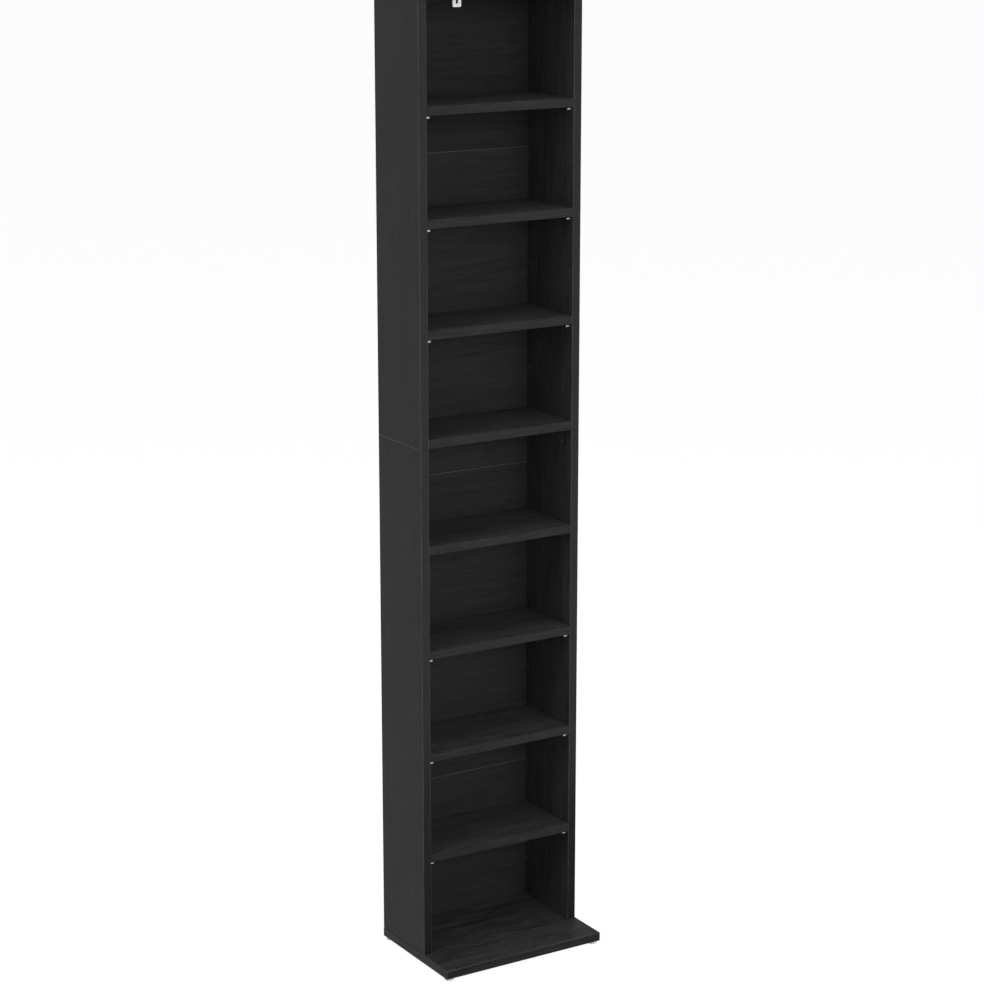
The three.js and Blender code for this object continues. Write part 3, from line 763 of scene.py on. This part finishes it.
def beech_wood(name, pale):
    """Pale beech with short dark flecks along the rod"""
    nodes = new_finish(name)
    place = nodes.object_place()
    fleck = nodes.between(nodes.stretched(place, (700, 700, 700), detail=3), 0.58, 0.68)
    bands = nodes.noise(place, 260, detail=2)
    return nodes.principled(
        Base_Color=nodes.mixed(fleck * 0.5 + (bands - 0.5) * 0.5 + 0.2, pale, toned(pale, 0.6)),
        Roughness=0.62 + fleck * 0.1,
        Normal=nodes.bumped(bands - fleck, 0.05 * MM, 0.6),
    )


def shared(name, maker, *values):
    """A finish that several operators use, made by the first of them"""
    return bpy.data.materials.get(name) or maker(name, *values)


def chipboard():
    return shared("bare_chipboard", bare_chipboard, colours().chipboard)


# Chipboard painted far darker for the walls of the bores, as painted shade in the narrow holes
def bored_chipboard():
    return shared("bored_chipboard", bare_chipboard, toned(colours().chipboard, 0.16))


def zinc():
    return shared("zinc", plated, colours().zinc, 0.4, 0.6)


# Places read from the frame


def corners(node):
    """The lowest and the highest corner of a CAD node"""
    return [np.array(corner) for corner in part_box(node)]


def middle(node):
    return sum(corners(node)) / 2


def underside(node):
    """The middle of the lowest level of a CAD node"""
    return np.array([*middle(node)[:2], corners(node)[0][2]])


def side_faces(hand):
    """Where a side's inner and outer faces are across the tower, the inner one first"""
    low, high = corners(f"{hand}_side_upper")
    return (high[0], low[0]) if hand == "left" else (low[0], high[0])


def side_span(level):
    """The heights of the ends of a side's lower or upper board, without the dowels that stand up from the lower"""
    low, high = corners(f"left_side_{level}")
    return (low[2], corners("left_side_upper")[0][2]) if level == "lower" else (low[2], high[2])


def cam_place(node):
    """The middle of a cam's face, the way that the face looks, and the way to the joint that its bolt crosses"""
    low, high = corners(node)
    centre, radius = (low + high) / 2, CAM_DIAMETER / 2
    sign = np.sign(centre[0])
    if node.startswith("shelf"):
        centre[0] = high[0] - radius if sign < 0 else low[0] + radius
        centre[2] = low[2]
        return centre, -Z, sign * X
    centre[0] = high[0] if sign < 0 else low[0]
    centre[2] = low[2] + radius
    return centre, -sign * X, Z


def fixed_shelf_joints(number):
    """The middle of each joint between a fixed shelf and a side, with the way outwards"""
    centre = middle(f"fixed_shelf_{number}")
    return [(np.array([side_faces(hand)[0], centre[1], centre[2]]), sign * X) for hand, sign in HANDS.items()]


def seam_dowels(hand):
    """The middles of the two dowels between a side's lower and upper boards"""
    low, high = corners(f"{hand}_side_upper")
    across = sum(side_faces(hand)) / 2
    return [np.array([across, y, low[2]]) for y in (low[1] + SEAM_DOWEL_SETBACK, high[1] - SEAM_DOWEL_SETBACK)]


# Cutters for the bores that fittings share


def dowel_bore(mouth, way, reach):
    return bore(mouth, way, DOWEL_DIAMETER + 2 * sizes().bore_gap, reach + BORE_ROOM)


def joint_bores(mouth, way, diameter, depth):
    """One bore for the bolt at a fixed shelf's joint, and one for each of the two dowels beside it"""
    dowels = [dowel_bore(mouth + offset * Y, way, SHELF_DOWEL_REACH) for offset in SHELF_DOWEL_OFFSETS]
    return [bore(mouth, way, diameter, depth), *dowels]


def cam_bore(node):
    centre, face, _ = cam_place(node)
    return bore(centre + CAM_RECESS * face, -face, CAM_BORE, CAM_BORE_DEPTH)


# Pieces


def make_panel(kind, seed, cutters):
    """The base or the top: a board edged all round, with the grain across the tower"""
    size, node = sizes(), f"{kind}_panel"
    edges = [EDGING] * 4, [FACE] * 2
    body = board(*corners(node), 2, [size.corner] * 4, size.arris, *edges, size.arc_steps, False, WEAR_AND_HIGHLIGHT[kind])
    make_board(f"{kind}_board", node, body, kind, kind, seed, cutters)


class TOWER_OT_base(Operator):
    """Makes the base board, edged all round, with bores for the long screws and the nails of the feet"""

    bl_idname = "tower.base"
    bl_label = "Base board"

    def execute(self, context):
        under = corners("base_panel")[0][2]
        seat = turned(mm(SCREW_SEAT), sizes().round_steps)
        cutters = []
        for hand, end in QUARTERS:
            screw, foot = middle(f"base_screw_{hand}_{end}"), middle(f"foot_{hand}_{end}")
            cutters.append(seat.placed([*screw[:2], under], Z, X))
            cutters.append(bore([*foot[:2], under], Z, FOOT_NAIL_BORE, FOOT_NAIL_DEPTH))
        make_panel("base", 1.3, cutters)
        return {"FINISHED"}


class TOWER_OT_top(Operator):
    """Makes the top board, edged all round, with bores for the four bolts and the screw of the wall angle"""

    bl_idname = "tower.top"
    bl_label = "Top board"

    def execute(self, context):
        under = corners("top_panel")[0][2]
        cutters = []
        for hand, end in QUARTERS:
            centre, _, _ = cam_place(f"top_cam_{hand}_{end}")
            cutters.append(bore([sum(side_faces(hand)) / 2, centre[1], under], Z, THREAD_BORE, THREAD_DEPTH))
        screw = middle("wall_bracket_screw")
        cutters.append(bore([*screw[:2], under], Z, ANGLE_SCREW_BORE, ANGLE_SCREW_DEPTH))
        make_panel("top", 2.6, cutters)
        return {"FINISHED"}


def side_bores(hand, level):
    """Cutters for a side board: the pins' bores and the spare row half a pitch below, the bolts and dowels of the
    fixed shelves, the dowels and cups at the seam, and the long screws at the foot or the cams at the head
    """
    low, high = side_span(level)
    outward = HANDS[hand] * X
    inner, across = side_faces(hand)[0], sum(side_faces(hand)) / 2
    pitch = corners("adjustable_shelf_2")[0][2] - corners("adjustable_shelf_1")[0][2]
    cutters = []
    for number in ADJUSTABLE:
        for end in ENDS:
            pin_low, pin_high = corners(f"shelf_pin_{number}_{hand}_{end}")
            centre = (pin_low + pin_high) / 2
            if low < centre[2] < high:
                diameter = pin_high[2] - pin_low[2] + 2 * sizes().bore_gap
                for drop in (0, pitch / 2):
                    cutters.append(bore([inner, centre[1], centre[2] - drop], outward, diameter, PIN_BORE_DEPTH))
    for number in FIXED:
        for mouth, way in fixed_shelf_joints(number):
            if way @ outward > 0 and low < mouth[2] < high:
                cutters += joint_bores(mouth, way, THREAD_BORE, THREAD_DEPTH)
    for place in seam_dowels(hand):
        cutters.append(dowel_bore(place, -Z if level == "lower" else Z, SEAM_DOWEL_REACH))
        if level == "lower":
            mouth = [inner, place[1], place[2] - CUP_DROP]
            cutters.append(bore(mouth, outward, CUP_DIAMETER + CUP_GAP, CUP_DEPTH + CUP_GAP, 2))
    for end in ENDS:
        if level == "lower":
            screw = middle(f"base_screw_{hand}_{end}")
            cutters.append(bore([*screw[:2], low], Z, LONG_SCREW_BORE, LONG_SCREW_DEPTH))
        else:
            node = f"top_cam_{hand}_{end}"
            centre, _, _ = cam_place(node)
            cutters += [cam_bore(node), bore([across, centre[1], high], -Z, BOLT_BORE, CAM_SETBACK)]
    return cutters


class TOWER_OT_sides(Operator):
    """Makes the four side boards, edged at the front, with the rows of pin bores and the bores for every fitting"""

    bl_idname = "tower.sides"
    bl_label = "Side boards"

    def execute(self, context):
        size = sizes()
        radii = [size.arris, size.arris, size.easing, size.easing]
        faces = [EDGING, FACE, RAW, FACE], [RAW] * 2
        for (hand, level), seed in SIDE_SEEDS.items():
            low, high = corners(f"{hand}_side_upper")
            low[2], high[2] = side_span(level)
            body = board(low, high, 2, radii, SIDE_END_EASING, *faces, size.arc_steps, wear_and_highlight=WEAR_AND_HIGHLIGHT[hand])
            name, node = f"{hand}_side_board_{level}", f"{hand}_side_{level}"
            make_board(name, node, body, hand, f"{hand}_{level}", seed, side_bores(hand, level))
        return {"FINISHED"}


def shelf(low, high, end):
    """A shelf, edged along its front, with both ends alike"""
    size = sizes()
    radii = [size.arris, size.easing, size.easing, size.arris]
    return board(low, high, 0, radii, size.easing, [FACE, RAW, FACE, EDGING], [end] * 2, size.arc_steps)


class TOWER_OT_fixed_shelves(Operator):
    """Makes the two shelves that are fixed between the sides, with bores for their cams, bolts and dowels"""

    bl_idname = "tower.fixed_shelves"
    bl_label = "Fixed shelves"

    def execute(self, context):
        for number in FIXED:
            node = f"fixed_shelf_{number}"
            low, high = corners(node)
            low[0], high[0] = side_faces("left")[0], side_faces("right")[0]
            cutters = [cam_bore(f"shelf_cam_{number}_{hand}") for hand in HANDS]
            for mouth, way in fixed_shelf_joints(number):
                cutters += joint_bores(mouth, -way, BOLT_BORE, CAM_SETBACK)
            name, body = f"fixed_shelf_board_{number}", shelf(low, high, RAW)
            make_board(name, node, body, "shelf", f"fixed_{number}", 7.3 + number, cutters)
        return {"FINISHED"}


class TOWER_OT_adjustable_shelves(Operator):
    """Makes the six shelves that lie on pins, edged at the front, each on its own body"""

    bl_idname = "tower.adjustable_shelves"
    bl_label = "Adjustable shelves"

    def execute(self, context):
        for number in ADJUSTABLE:
            node = f"adjustable_shelf_{number}"
            name, body = f"adjustable_shelf_board_{number}", shelf(*corners(node), EDGING)
            make_board(name, node, body, "shelf", f"adjustable_{number}", 15.7 + 1.9 * number, carrier=node)
        return {"FINISHED"}


def nail_places(sheet):
    """Where a sheet of the back is nailed: down both sides, and twice across into each board that it covers"""
    low, high = corners(f"back_panel_{sheet}")
    number = int(np.ceil((high[2] - low[2] - 2 * NAIL_MARGIN) / sizes().nail_spacing)) + 1
    heights = np.linspace(low[2] + NAIL_MARGIN, high[2] - NAIL_MARGIN, number)
    places = [[sum(side_faces(hand)) / 2, high[1], height] for hand in HANDS for height in heights]
    for board_node in [f"fixed_shelf_{number}" for number in FIXED] + ["base_panel", "top_panel"]:
        height = middle(board_node)[2]
        if low[2] < height < high[2]:
            places += [[across, high[1], height] for across in NAIL_OFFSETS]
    return np.array(places)


def nail():
    """A round nail with a domed head and a point, pointing along z"""
    head, shank = sizes().nail_head / 2, 0.7 * MM
    crown = [(0.12 * MM * (1 - np.cos(turn)), head * np.sin(turn) * 0.92) for turn in np.linspace(0.15, pi / 2, 6)]
    rim = [(0.2 * MM, head), (0.4 * MM, head * 0.96), (0.42 * MM, shank)]
    return turned(crown + rim + [(16 * MM, shank), (18 * MM, 0.1 * MM)], 20)


def nail_dent():
    """A cutter for the dent that a nail's head is driven into"""
    rim, seat, depth = 0.8 * sizes().nail_head, 0.53 * sizes().nail_head, 0.45 * MM
    return turned([(-OVERRUN, rim + OVERRUN), (0.0, rim), (0.5 * depth, seat), (depth, seat)], 24)


class TOWER_OT_back(Operator):
    """Makes the four sheets of the back, printed at the front and bare behind, and the nails that hold them"""

    bl_idname = "tower.back"
    bl_label = "Back"

    def execute(self, context):
        bare = bare_hardboard("bare_hardboard", colours().hardboard)
        joint = bare_hardboard("printed_edge", colours().print_edge)
        nails = []
        for index, sheet in enumerate(SHEETS):
            node = f"back_panel_{sheet}"
            low, high = corners(node)
            joined_below, joined_above = index > 0, index < len(SHEETS) - 1
            low[2] -= SHEET_GROWTH * joined_below
            high[2] += SHEET_GROWTH * joined_above
            edges = [RAW, EDGING if joined_above else RAW, RAW, EDGING if joined_below else RAW]
            body = board(low, high, 1, [LEAST_RADIUS] * 4, SHEET_EASING, edges, [FACE, RAW], 3)
            # The top sheet's print is painted darker, at 0.82, as painted shade
            front = printed(f"print_{sheet}", 31.0 + 2.3 * index, 0.82 if sheet == "top" else 1.0)
            places = nail_places(sheet)
            dents = [nail_dent().placed(place, -Y, X) for place in places]
            make(f"back_sheet_{sheet}", body, [front, joint, bare], [node], dents, bare)
            nails += [nail().placed(place - 0.02 * MM * Y, -Y, X) for place in places]
        make_fitting("back_nails", gathered(nails))
        return {"FINISHED"}


class TOWER_OT_pins(Operator):
    """Makes the plated pins under the adjustable shelves, with rounded ends"""

    bl_idname = "tower.pins"
    bl_label = "Shelf pins"

    def execute(self, context):
        nickel = plated("nickel", colours().nickel, 0.26, 1.0)
        for number in ADJUSTABLE:
            for hand, end in QUARTERS:
                node = f"shelf_pin_{number}_{hand}_{end}"
                low, high = corners(node)
                body = rod(high[0] - low[0], (high[2] - low[2]) / 2, PIN_NOSE)
                body = body.placed([low[0], *middle(node)[1:]], X, Y)
                make(f"pin_{number}_{hand}_{end}", body, [nickel], [node])
        return {"FINISHED"}


def cam_cutters():
    """Cutters for a cam's cross recess, the window for its bolt's head, and the arrow on its face"""
    return [
        cross(*mm(CAM_CROSS)),
        block([-MM, -CAM_WINDOW, BOLT_LEVEL - CAM_WINDOW], [CAM_DIAMETER, CAM_WINDOW, BOLT_LEVEL + CAM_WINDOW]),
        turned(mm(CAM_ARROW), 3).placed(5.7 * MM * X, Z, X),
    ]


class TOWER_OT_cams(Operator):
    """Makes the cams, each with a cross recess and an arrow, and the collared bolts that they grip"""

    bl_idname = "tower.cams"
    bl_label = "Cams and bolts"

    def execute(self, context):
        shelf_cams = [f"shelf_cam_{number}_{hand}" for number in FIXED for hand in HANDS]
        for node in shelf_cams + [f"top_cam_{hand}_{end}" for hand, end in QUARTERS]:
            centre, face, joint = cam_place(node)
            cam = rod(CAM_HEIGHT, CAM_DIAMETER / 2, CAM_EDGE).placed(centre, -face, joint)
            cutters = [cutter.placed(centre, -face, joint) for cutter in cam_cutters()]
            make_fitting(node.replace("cam", "cam_body"), cam, node, cutters)
            start = centre - face * BOLT_LEVEL + joint * (CAM_SETBACK + BOLT_TIP)
            bolt = turned(mm(CAM_BOLT), sizes().round_steps).placed(start, -joint, face)
            make_fitting(node.replace("cam", "cam_bolt"), bolt)
        return {"FINISHED"}


def cover_disc():
    """A thin disc with an upright wall and a quarter circle over its rim"""
    radius, edge = sizes().cover / 2, 0.4 * MM
    profile = [(-0.02 * MM, radius), *arc(0.25 * MM, radius - edge, edge, 0, 90)]
    return turned(profile, 2 * sizes().round_steps)


def open_cup():
    """An open cup: up its outer wall, in a half circle over its rim, and down its inner wall, which leans in a
    little, to the floor
    """
    outer, thickness, rim = CUP_DIAMETER / 2, 0.8 * MM, 0.4 * MM
    over = arc(0, outer - rim, rim, 0, 180, 8)
    floor = arc(0.5 * MM - CUP_DEPTH + thickness, outer - thickness - 0.7 * MM, 0.5 * MM, 0, -90)
    return turned([(-CUP_DEPTH, outer), *over, *floor], 2 * sizes().round_steps)


class TOWER_OT_covers(Operator):
    """Makes the foil discs over the cams of the top, and the black cups set into the sides below their seams"""

    bl_idname = "tower.covers"
    bl_label = "Covers"

    def execute(self, context):
        disc, cup = cover_disc(), open_cup()
        # The covers take the right side's face shade of 1.25, which is painted light
        finish = foil("foil_covers", 47.1, 1.25, 0.55)
        plastic = moulded("black_plastic", colours().cup)
        for hand in HANDS:
            for end, dowel_place in zip(ENDS, seam_dowels(hand)):
                centre, face, _ = cam_place(f"top_cam_{hand}_{end}")
                make(f"cam_cover_{hand}_{end}", disc.placed(centre + CAM_RECESS * face, face, Z), [finish])
                seat = np.array([side_faces(hand)[0], dowel_place[1], dowel_place[2] - CUP_DROP])
                make(f"side_cup_{hand}_{end}", cup.placed(seat, face, Z), [plastic])
        return {"FINISHED"}


class TOWER_OT_base_screws(Operator):
    """Makes the long screws under the base, with countersunk heads and six-sided sockets"""

    bl_idname = "tower.base_screws"
    bl_label = "Base screws"

    def execute(self, context):
        screw, socket = turned(mm(LONG_SCREW), sizes().round_steps), turned(mm(HEX_SOCKET), 6)
        for hand, end in QUARTERS:
            node = f"base_screw_{hand}_{end}"
            body, cutter = [part.placed(underside(node), Z, X) for part in (screw, socket)]
            make_fitting(node.replace("screw", "screw_body"), body, node, [cutter])
        return {"FINISHED"}


class TOWER_OT_feet(Operator):
    """Makes the four plastic feet under the base, each with a nail in its recess"""

    bl_idname = "tower.feet"
    bl_label = "Feet"

    def execute(self, context):
        plastic = moulded("grey_plastic", colours().foot)
        rim = 0.3 * MM
        nails = []
        for hand, end in QUARTERS:
            node = f"foot_{hand}_{end}"
            low, high = corners(node)
            start = underside(node)
            radius, tip, top = (high[0] - low[0]) / 2, high[2] - low[2], corners("base_panel")[0][2] - low[2]
            sole, wall = arc(MM, radius - MM, MM, -90, 0), arc(top - rim, radius - rim, rim, 0, 90)
            body = turned([*mm(FOOT_RECESS), *sole, *wall, (top, 1.2 * MM)], 48).placed(start, Z, X)
            make(f"foot_disc_{hand}_{end}", body, [plastic], [node])
            shank = [(tip - 2 * MM, 0.9 * MM), (tip, 0.1 * MM)]
            nails.append(turned([*mm(FOOT_NAIL_HEAD), *shank], 20).placed(start, Z, X))
        make_fitting("foot_nails", gathered(nails))
        return {"FINISHED"}


def angle_strip(low, high):
    """A flat strip carried along a path: back under the top, round a quarter circle, and down the back. Its half
    width grows from each end as a quarter circle, which rounds the corners of the leaves.
    """
    centre = ANGLE_BEND + ANGLE_THICKNESS / 2
    flat_end, drop_end = [edge - ANGLE_THICKNESS - ANGLE_BEND for edge in high[1:]]
    turn = np.linspace(0, pi / 2, 9)
    nips = ANGLE_NIP * (1 - np.cos(np.linspace(0, pi / 2, 7)))
    along = np.full(7, 1.0)
    path_y = np.concatenate([low[1] + nips, flat_end + centre * np.sin(turn), along * (high[1] - ANGLE_THICKNESS / 2)])
    path_z = np.concatenate(
        [along * (high[2] - ANGLE_THICKNESS / 2), drop_end + centre * np.cos(turn), (low[2] + nips)[::-1]]
    )
    rise = np.sqrt(ANGLE_NIP**2 - (ANGLE_NIP - nips) ** 2)
    half = (high[0] - low[0]) / 2 - ANGLE_NIP + np.concatenate([rise, np.full(9, ANGLE_NIP), rise[::-1]])
    normal = np.concatenate([np.zeros(7), turn, np.full(7, pi / 2)])
    extent = np.stack([half, np.full(len(half), ANGLE_THICKNESS / 2)], -1)[:, None]
    section = outline(-extent, extent, [0.3 * MM] * 4, 4, np.zeros(len(half)))
    across, out = section[..., 0], section[..., 1]
    rings = np.stack(
        [across, path_y[:, None] + out * np.sin(normal)[:, None], path_z[:, None] + out * np.cos(normal)[:, None]],
        -1,
    )[:, ::-1]
    run = np.concatenate([[0], np.cumsum(np.hypot(np.diff(path_y), np.diff(path_z)))])
    left = np.zeros(rings.shape[1])
    return sleeve(rings, left, left, run, rings[[0, -1]][..., :2])


class TOWER_OT_wall_angle(Operator):
    """Makes the white angle under the top, with its upright slot and its screw"""

    bl_idname = "tower.wall_angle"
    bl_label = "Wall angle"

    def execute(self, context):
        enamel = enamelled("white_enamel", colours().enamel)
        low, high = corners("wall_bracket")
        slot = board(
            [-2.25 * MM, high[1] - ANGLE_THICKNESS - OVERRUN, high[2] - 15.8 * MM],
            [2.25 * MM, high[1] + OVERRUN, high[2] - 3.3 * MM],
            1, [2.2 * MM] * 4, LEAST_RADIUS, [FACE] * 4, [FACE] * 2, 8,
        )
        start = underside("wall_bracket_screw")
        hole = bore([*start[:2], high[2]], -Z, 4 * MM, ANGLE_THICKNESS + OVERRUN)
        make("wall_angle", angle_strip(low, high), [enamel], ["wall_bracket"], [slot, hole])
        dome = [(2.2 * MM * (1 - np.sin(turn)), 3.5 * MM * np.cos(turn)) for turn in np.linspace(1.5, 0.25, 8)]
        screw = turned([*dome, *mm(ANGLE_SCREW_SHANK)], sizes().round_steps).placed(start, Z, X)
        recess = cross(*mm(ANGLE_SCREW_CROSS)).placed(start, Z, X)
        make_fitting("wall_angle_screw", screw, "wall_bracket_screw", [recess])
        return {"FINISHED"}


def dowel(length):
    """A rod whose radius dips in flutes, as the cosine of their number times the angle, between its chamfers"""
    radius, steps = DOWEL_DIAMETER / 2, 4 * DOWEL_FLUTES
    chamfered = [(0, radius - DOWEL_CHAMFER), (DOWEL_CHAMFER, radius)]
    body = turned([*chamfered, (length - DOWEL_CHAMFER, radius), (length, radius - DOWEL_CHAMFER)], steps)
    rings = body.points.reshape(4, steps, 3)
    flute = 1 - 0.02 * (1 - np.cos(DOWEL_FLUTES * np.arange(steps) * 2 * pi / steps))
    rings[1:3, :, :2] *= flute[:, None]
    return body


class TOWER_OT_dowels(Operator):
    """Makes the fluted beech dowels in the ends of the fixed shelves and in the seams of the sides"""

    bl_idname = "tower.dowels"
    bl_label = "Dowels"

    def execute(self, context):
        dowels = []
        for number in FIXED:
            for mouth, way in fixed_shelf_joints(number):
                for offset in SHELF_DOWEL_OFFSETS:
                    start = mouth + offset * Y - SHELF_DOWEL_REACH * way
                    dowels.append(dowel(2 * SHELF_DOWEL_REACH).placed(start, way, Y))
        for hand in HANDS:
            for place in seam_dowels(hand):
                dowels.append(dowel(2 * SEAM_DOWEL_REACH).placed(place - SEAM_DOWEL_REACH * Z, Z, X))
        make("dowels", gathered(dowels), [beech_wood("beech", colours().beech)])
        return {"FINISHED"}


# The studio


def seen_rays(nodes):
    """1 for a ray from the camera, a reflection or glass, else 0"""
    camera, glossy, glass = [
        nodes.node("ShaderNodeLightPath", output=f"Is {kind} Ray") for kind in ("Camera", "Glossy", "Transmission")
    ]
    return nodes.maths("MINIMUM", camera + glossy + glass, 1.0)


def make_floor(studio):
    """A pale disc under the tower, which the camera and reflections see lifted towards white"""
    nodes = new_finish("pale_floor")
    rays = seen_rays(nodes)
    plain = nodes.node("ShaderNodeBsdfDiffuse", None, {"Color": (FLOOR_GREY, FLOOR_GREY, FLOOR_GREY, 1)})
    glow = nodes.node("ShaderNodeEmission", None, {"Color": (1, 1, 1, 1), "Strength": GLOW_STRENGTH})
    mix = nodes.node("ShaderNodeMixShader", None, {0: rays * studio.floor_glow, 1: plain, 2: glow})
    nodes.node("ShaderNodeOutputMaterial", None, {"Surface": mix})
    floor = new_object("floor", turned([(-10 * MM, FLOOR_RADIUS), (-0.1 * MM, FLOOR_RADIUS)], 96), [nodes.owner])


def make_world(studio):
    """Even light from all round, which the camera and reflections see as white"""
    nodes = Nodes(bpy.data.worlds.new("studio"))
    strength = studio.ambient + seen_rays(nodes) * (1 - studio.ambient)
    background = nodes.node("ShaderNodeBackground", None, {"Color": (1, 1, 1, 1), "Strength": strength})
    nodes.node("ShaderNodeOutputWorld", None, {"Surface": background})
    bpy.context.scene.world = nodes.owner


def make_lamp(name, radiance, size, place, target):
    """A soft box that looks from a place to a target. Its power is its radiance times its area times pi."""
    lamp = bpy.data.lights.new(name, "AREA")
    lamp.shape, lamp.size, lamp.size_y = "RECTANGLE", *size
    lamp.energy = radiance * size[0] * size[1] * pi
    box = bpy.data.objects.new(name, lamp)
    box.location = place
    way = np.array(target) - place
    box.rotation_euler = (np.arctan2(np.hypot(*way[:2]), -way[2]), 0, np.arctan2(-way[0], way[1]))
    box.visible_camera = False
    bpy.context.scene.collection.objects.link(box)
    return box


class TOWER_OT_stage(Operator):
    """Makes the pale floor, the soft lights and the camera"""

    bl_idname = "tower.stage"
    bl_label = "Studio"

    def execute(self, context):
        scene, studio = context.scene, context.scene.tower_studio
        make_floor(studio)
        make_world(studio)
        key, front, sheen = [make_lamp(name, getattr(studio, name), *place) for name, place in LAMPS.items()]
        key.visible_glossy = front.visible_glossy = sheen.visible_diffuse = False
        pins = bpy.data.collections.new("pins")
        for piece in scene.objects:
            if piece.name.startswith("pin_"):
                pins.objects.link(piece)
        for pin in pins.collection_objects:
            pin.light_linking.link_state = "EXCLUDE"
        sheen.light_linking.receiver_collection = pins
        camera = bpy.data.objects.new("camera", bpy.data.cameras.new("camera"))
        camera.data.lens = studio.lens
        camera.location, camera.rotation_euler = CAMERA_PLACE, CAMERA_TURN
        scene.collection.objects.link(camera)
        scene.camera = camera
        scene.view_settings.view_transform = "Standard"
        return {"FINISHED"}


class TOWER_PT_panel(Panel):
    """Lists the pieces and what they are made with"""

    bl_idname = "TOWER_PT_panel"
    bl_label = "Disc tower"
    bl_space_type = "VIEW_3D"
    bl_region_type = "UI"
    bl_category = "Disc tower"

    def draw(self, context):
        layout = self.layout
        for operator in PIECES:
            layout.operator(operator.bl_idname)
        for group in GROUPS:
            box = layout.box()
            settings = getattr(context.scene, group)
            for name in settings.bl_rna.properties.keys():
                if name not in {"rna_type", "name"}:
                    box.prop(settings, name)


PIECES = (
    TOWER_OT_base,
    TOWER_OT_top,
    TOWER_OT_sides,
    TOWER_OT_fixed_shelves,
    TOWER_OT_adjustable_shelves,
    TOWER_OT_back,
    TOWER_OT_pins,
    TOWER_OT_cams,
    TOWER_OT_covers,
    TOWER_OT_base_screws,
    TOWER_OT_feet,
    TOWER_OT_wall_angle,
    TOWER_OT_dowels,
    TOWER_OT_stage,
)
GROUPS = {"tower_sizes": TowerSizes, "tower_colours": TowerColours, "tower_studio": TowerStudio}


def register():
    for made in (*GROUPS.values(), *PIECES, TOWER_PT_panel):
        bpy.utils.register_class(made)
    for name, group in GROUPS.items():
        setattr(bpy.types.Scene, name, PointerProperty(type=group))


def unregister():
    for name in GROUPS:
        delattr(bpy.types.Scene, name)
    for made in reversed((*GROUPS.values(), *PIECES, TOWER_PT_panel)):
        bpy.utils.unregister_class(made)


def main():
    register()
    for operator in PIECES:
        group, name = operator.bl_idname.split(".")
        getattr(getattr(bpy.ops, group), name)()


if __name__ == "__main__":
    main()
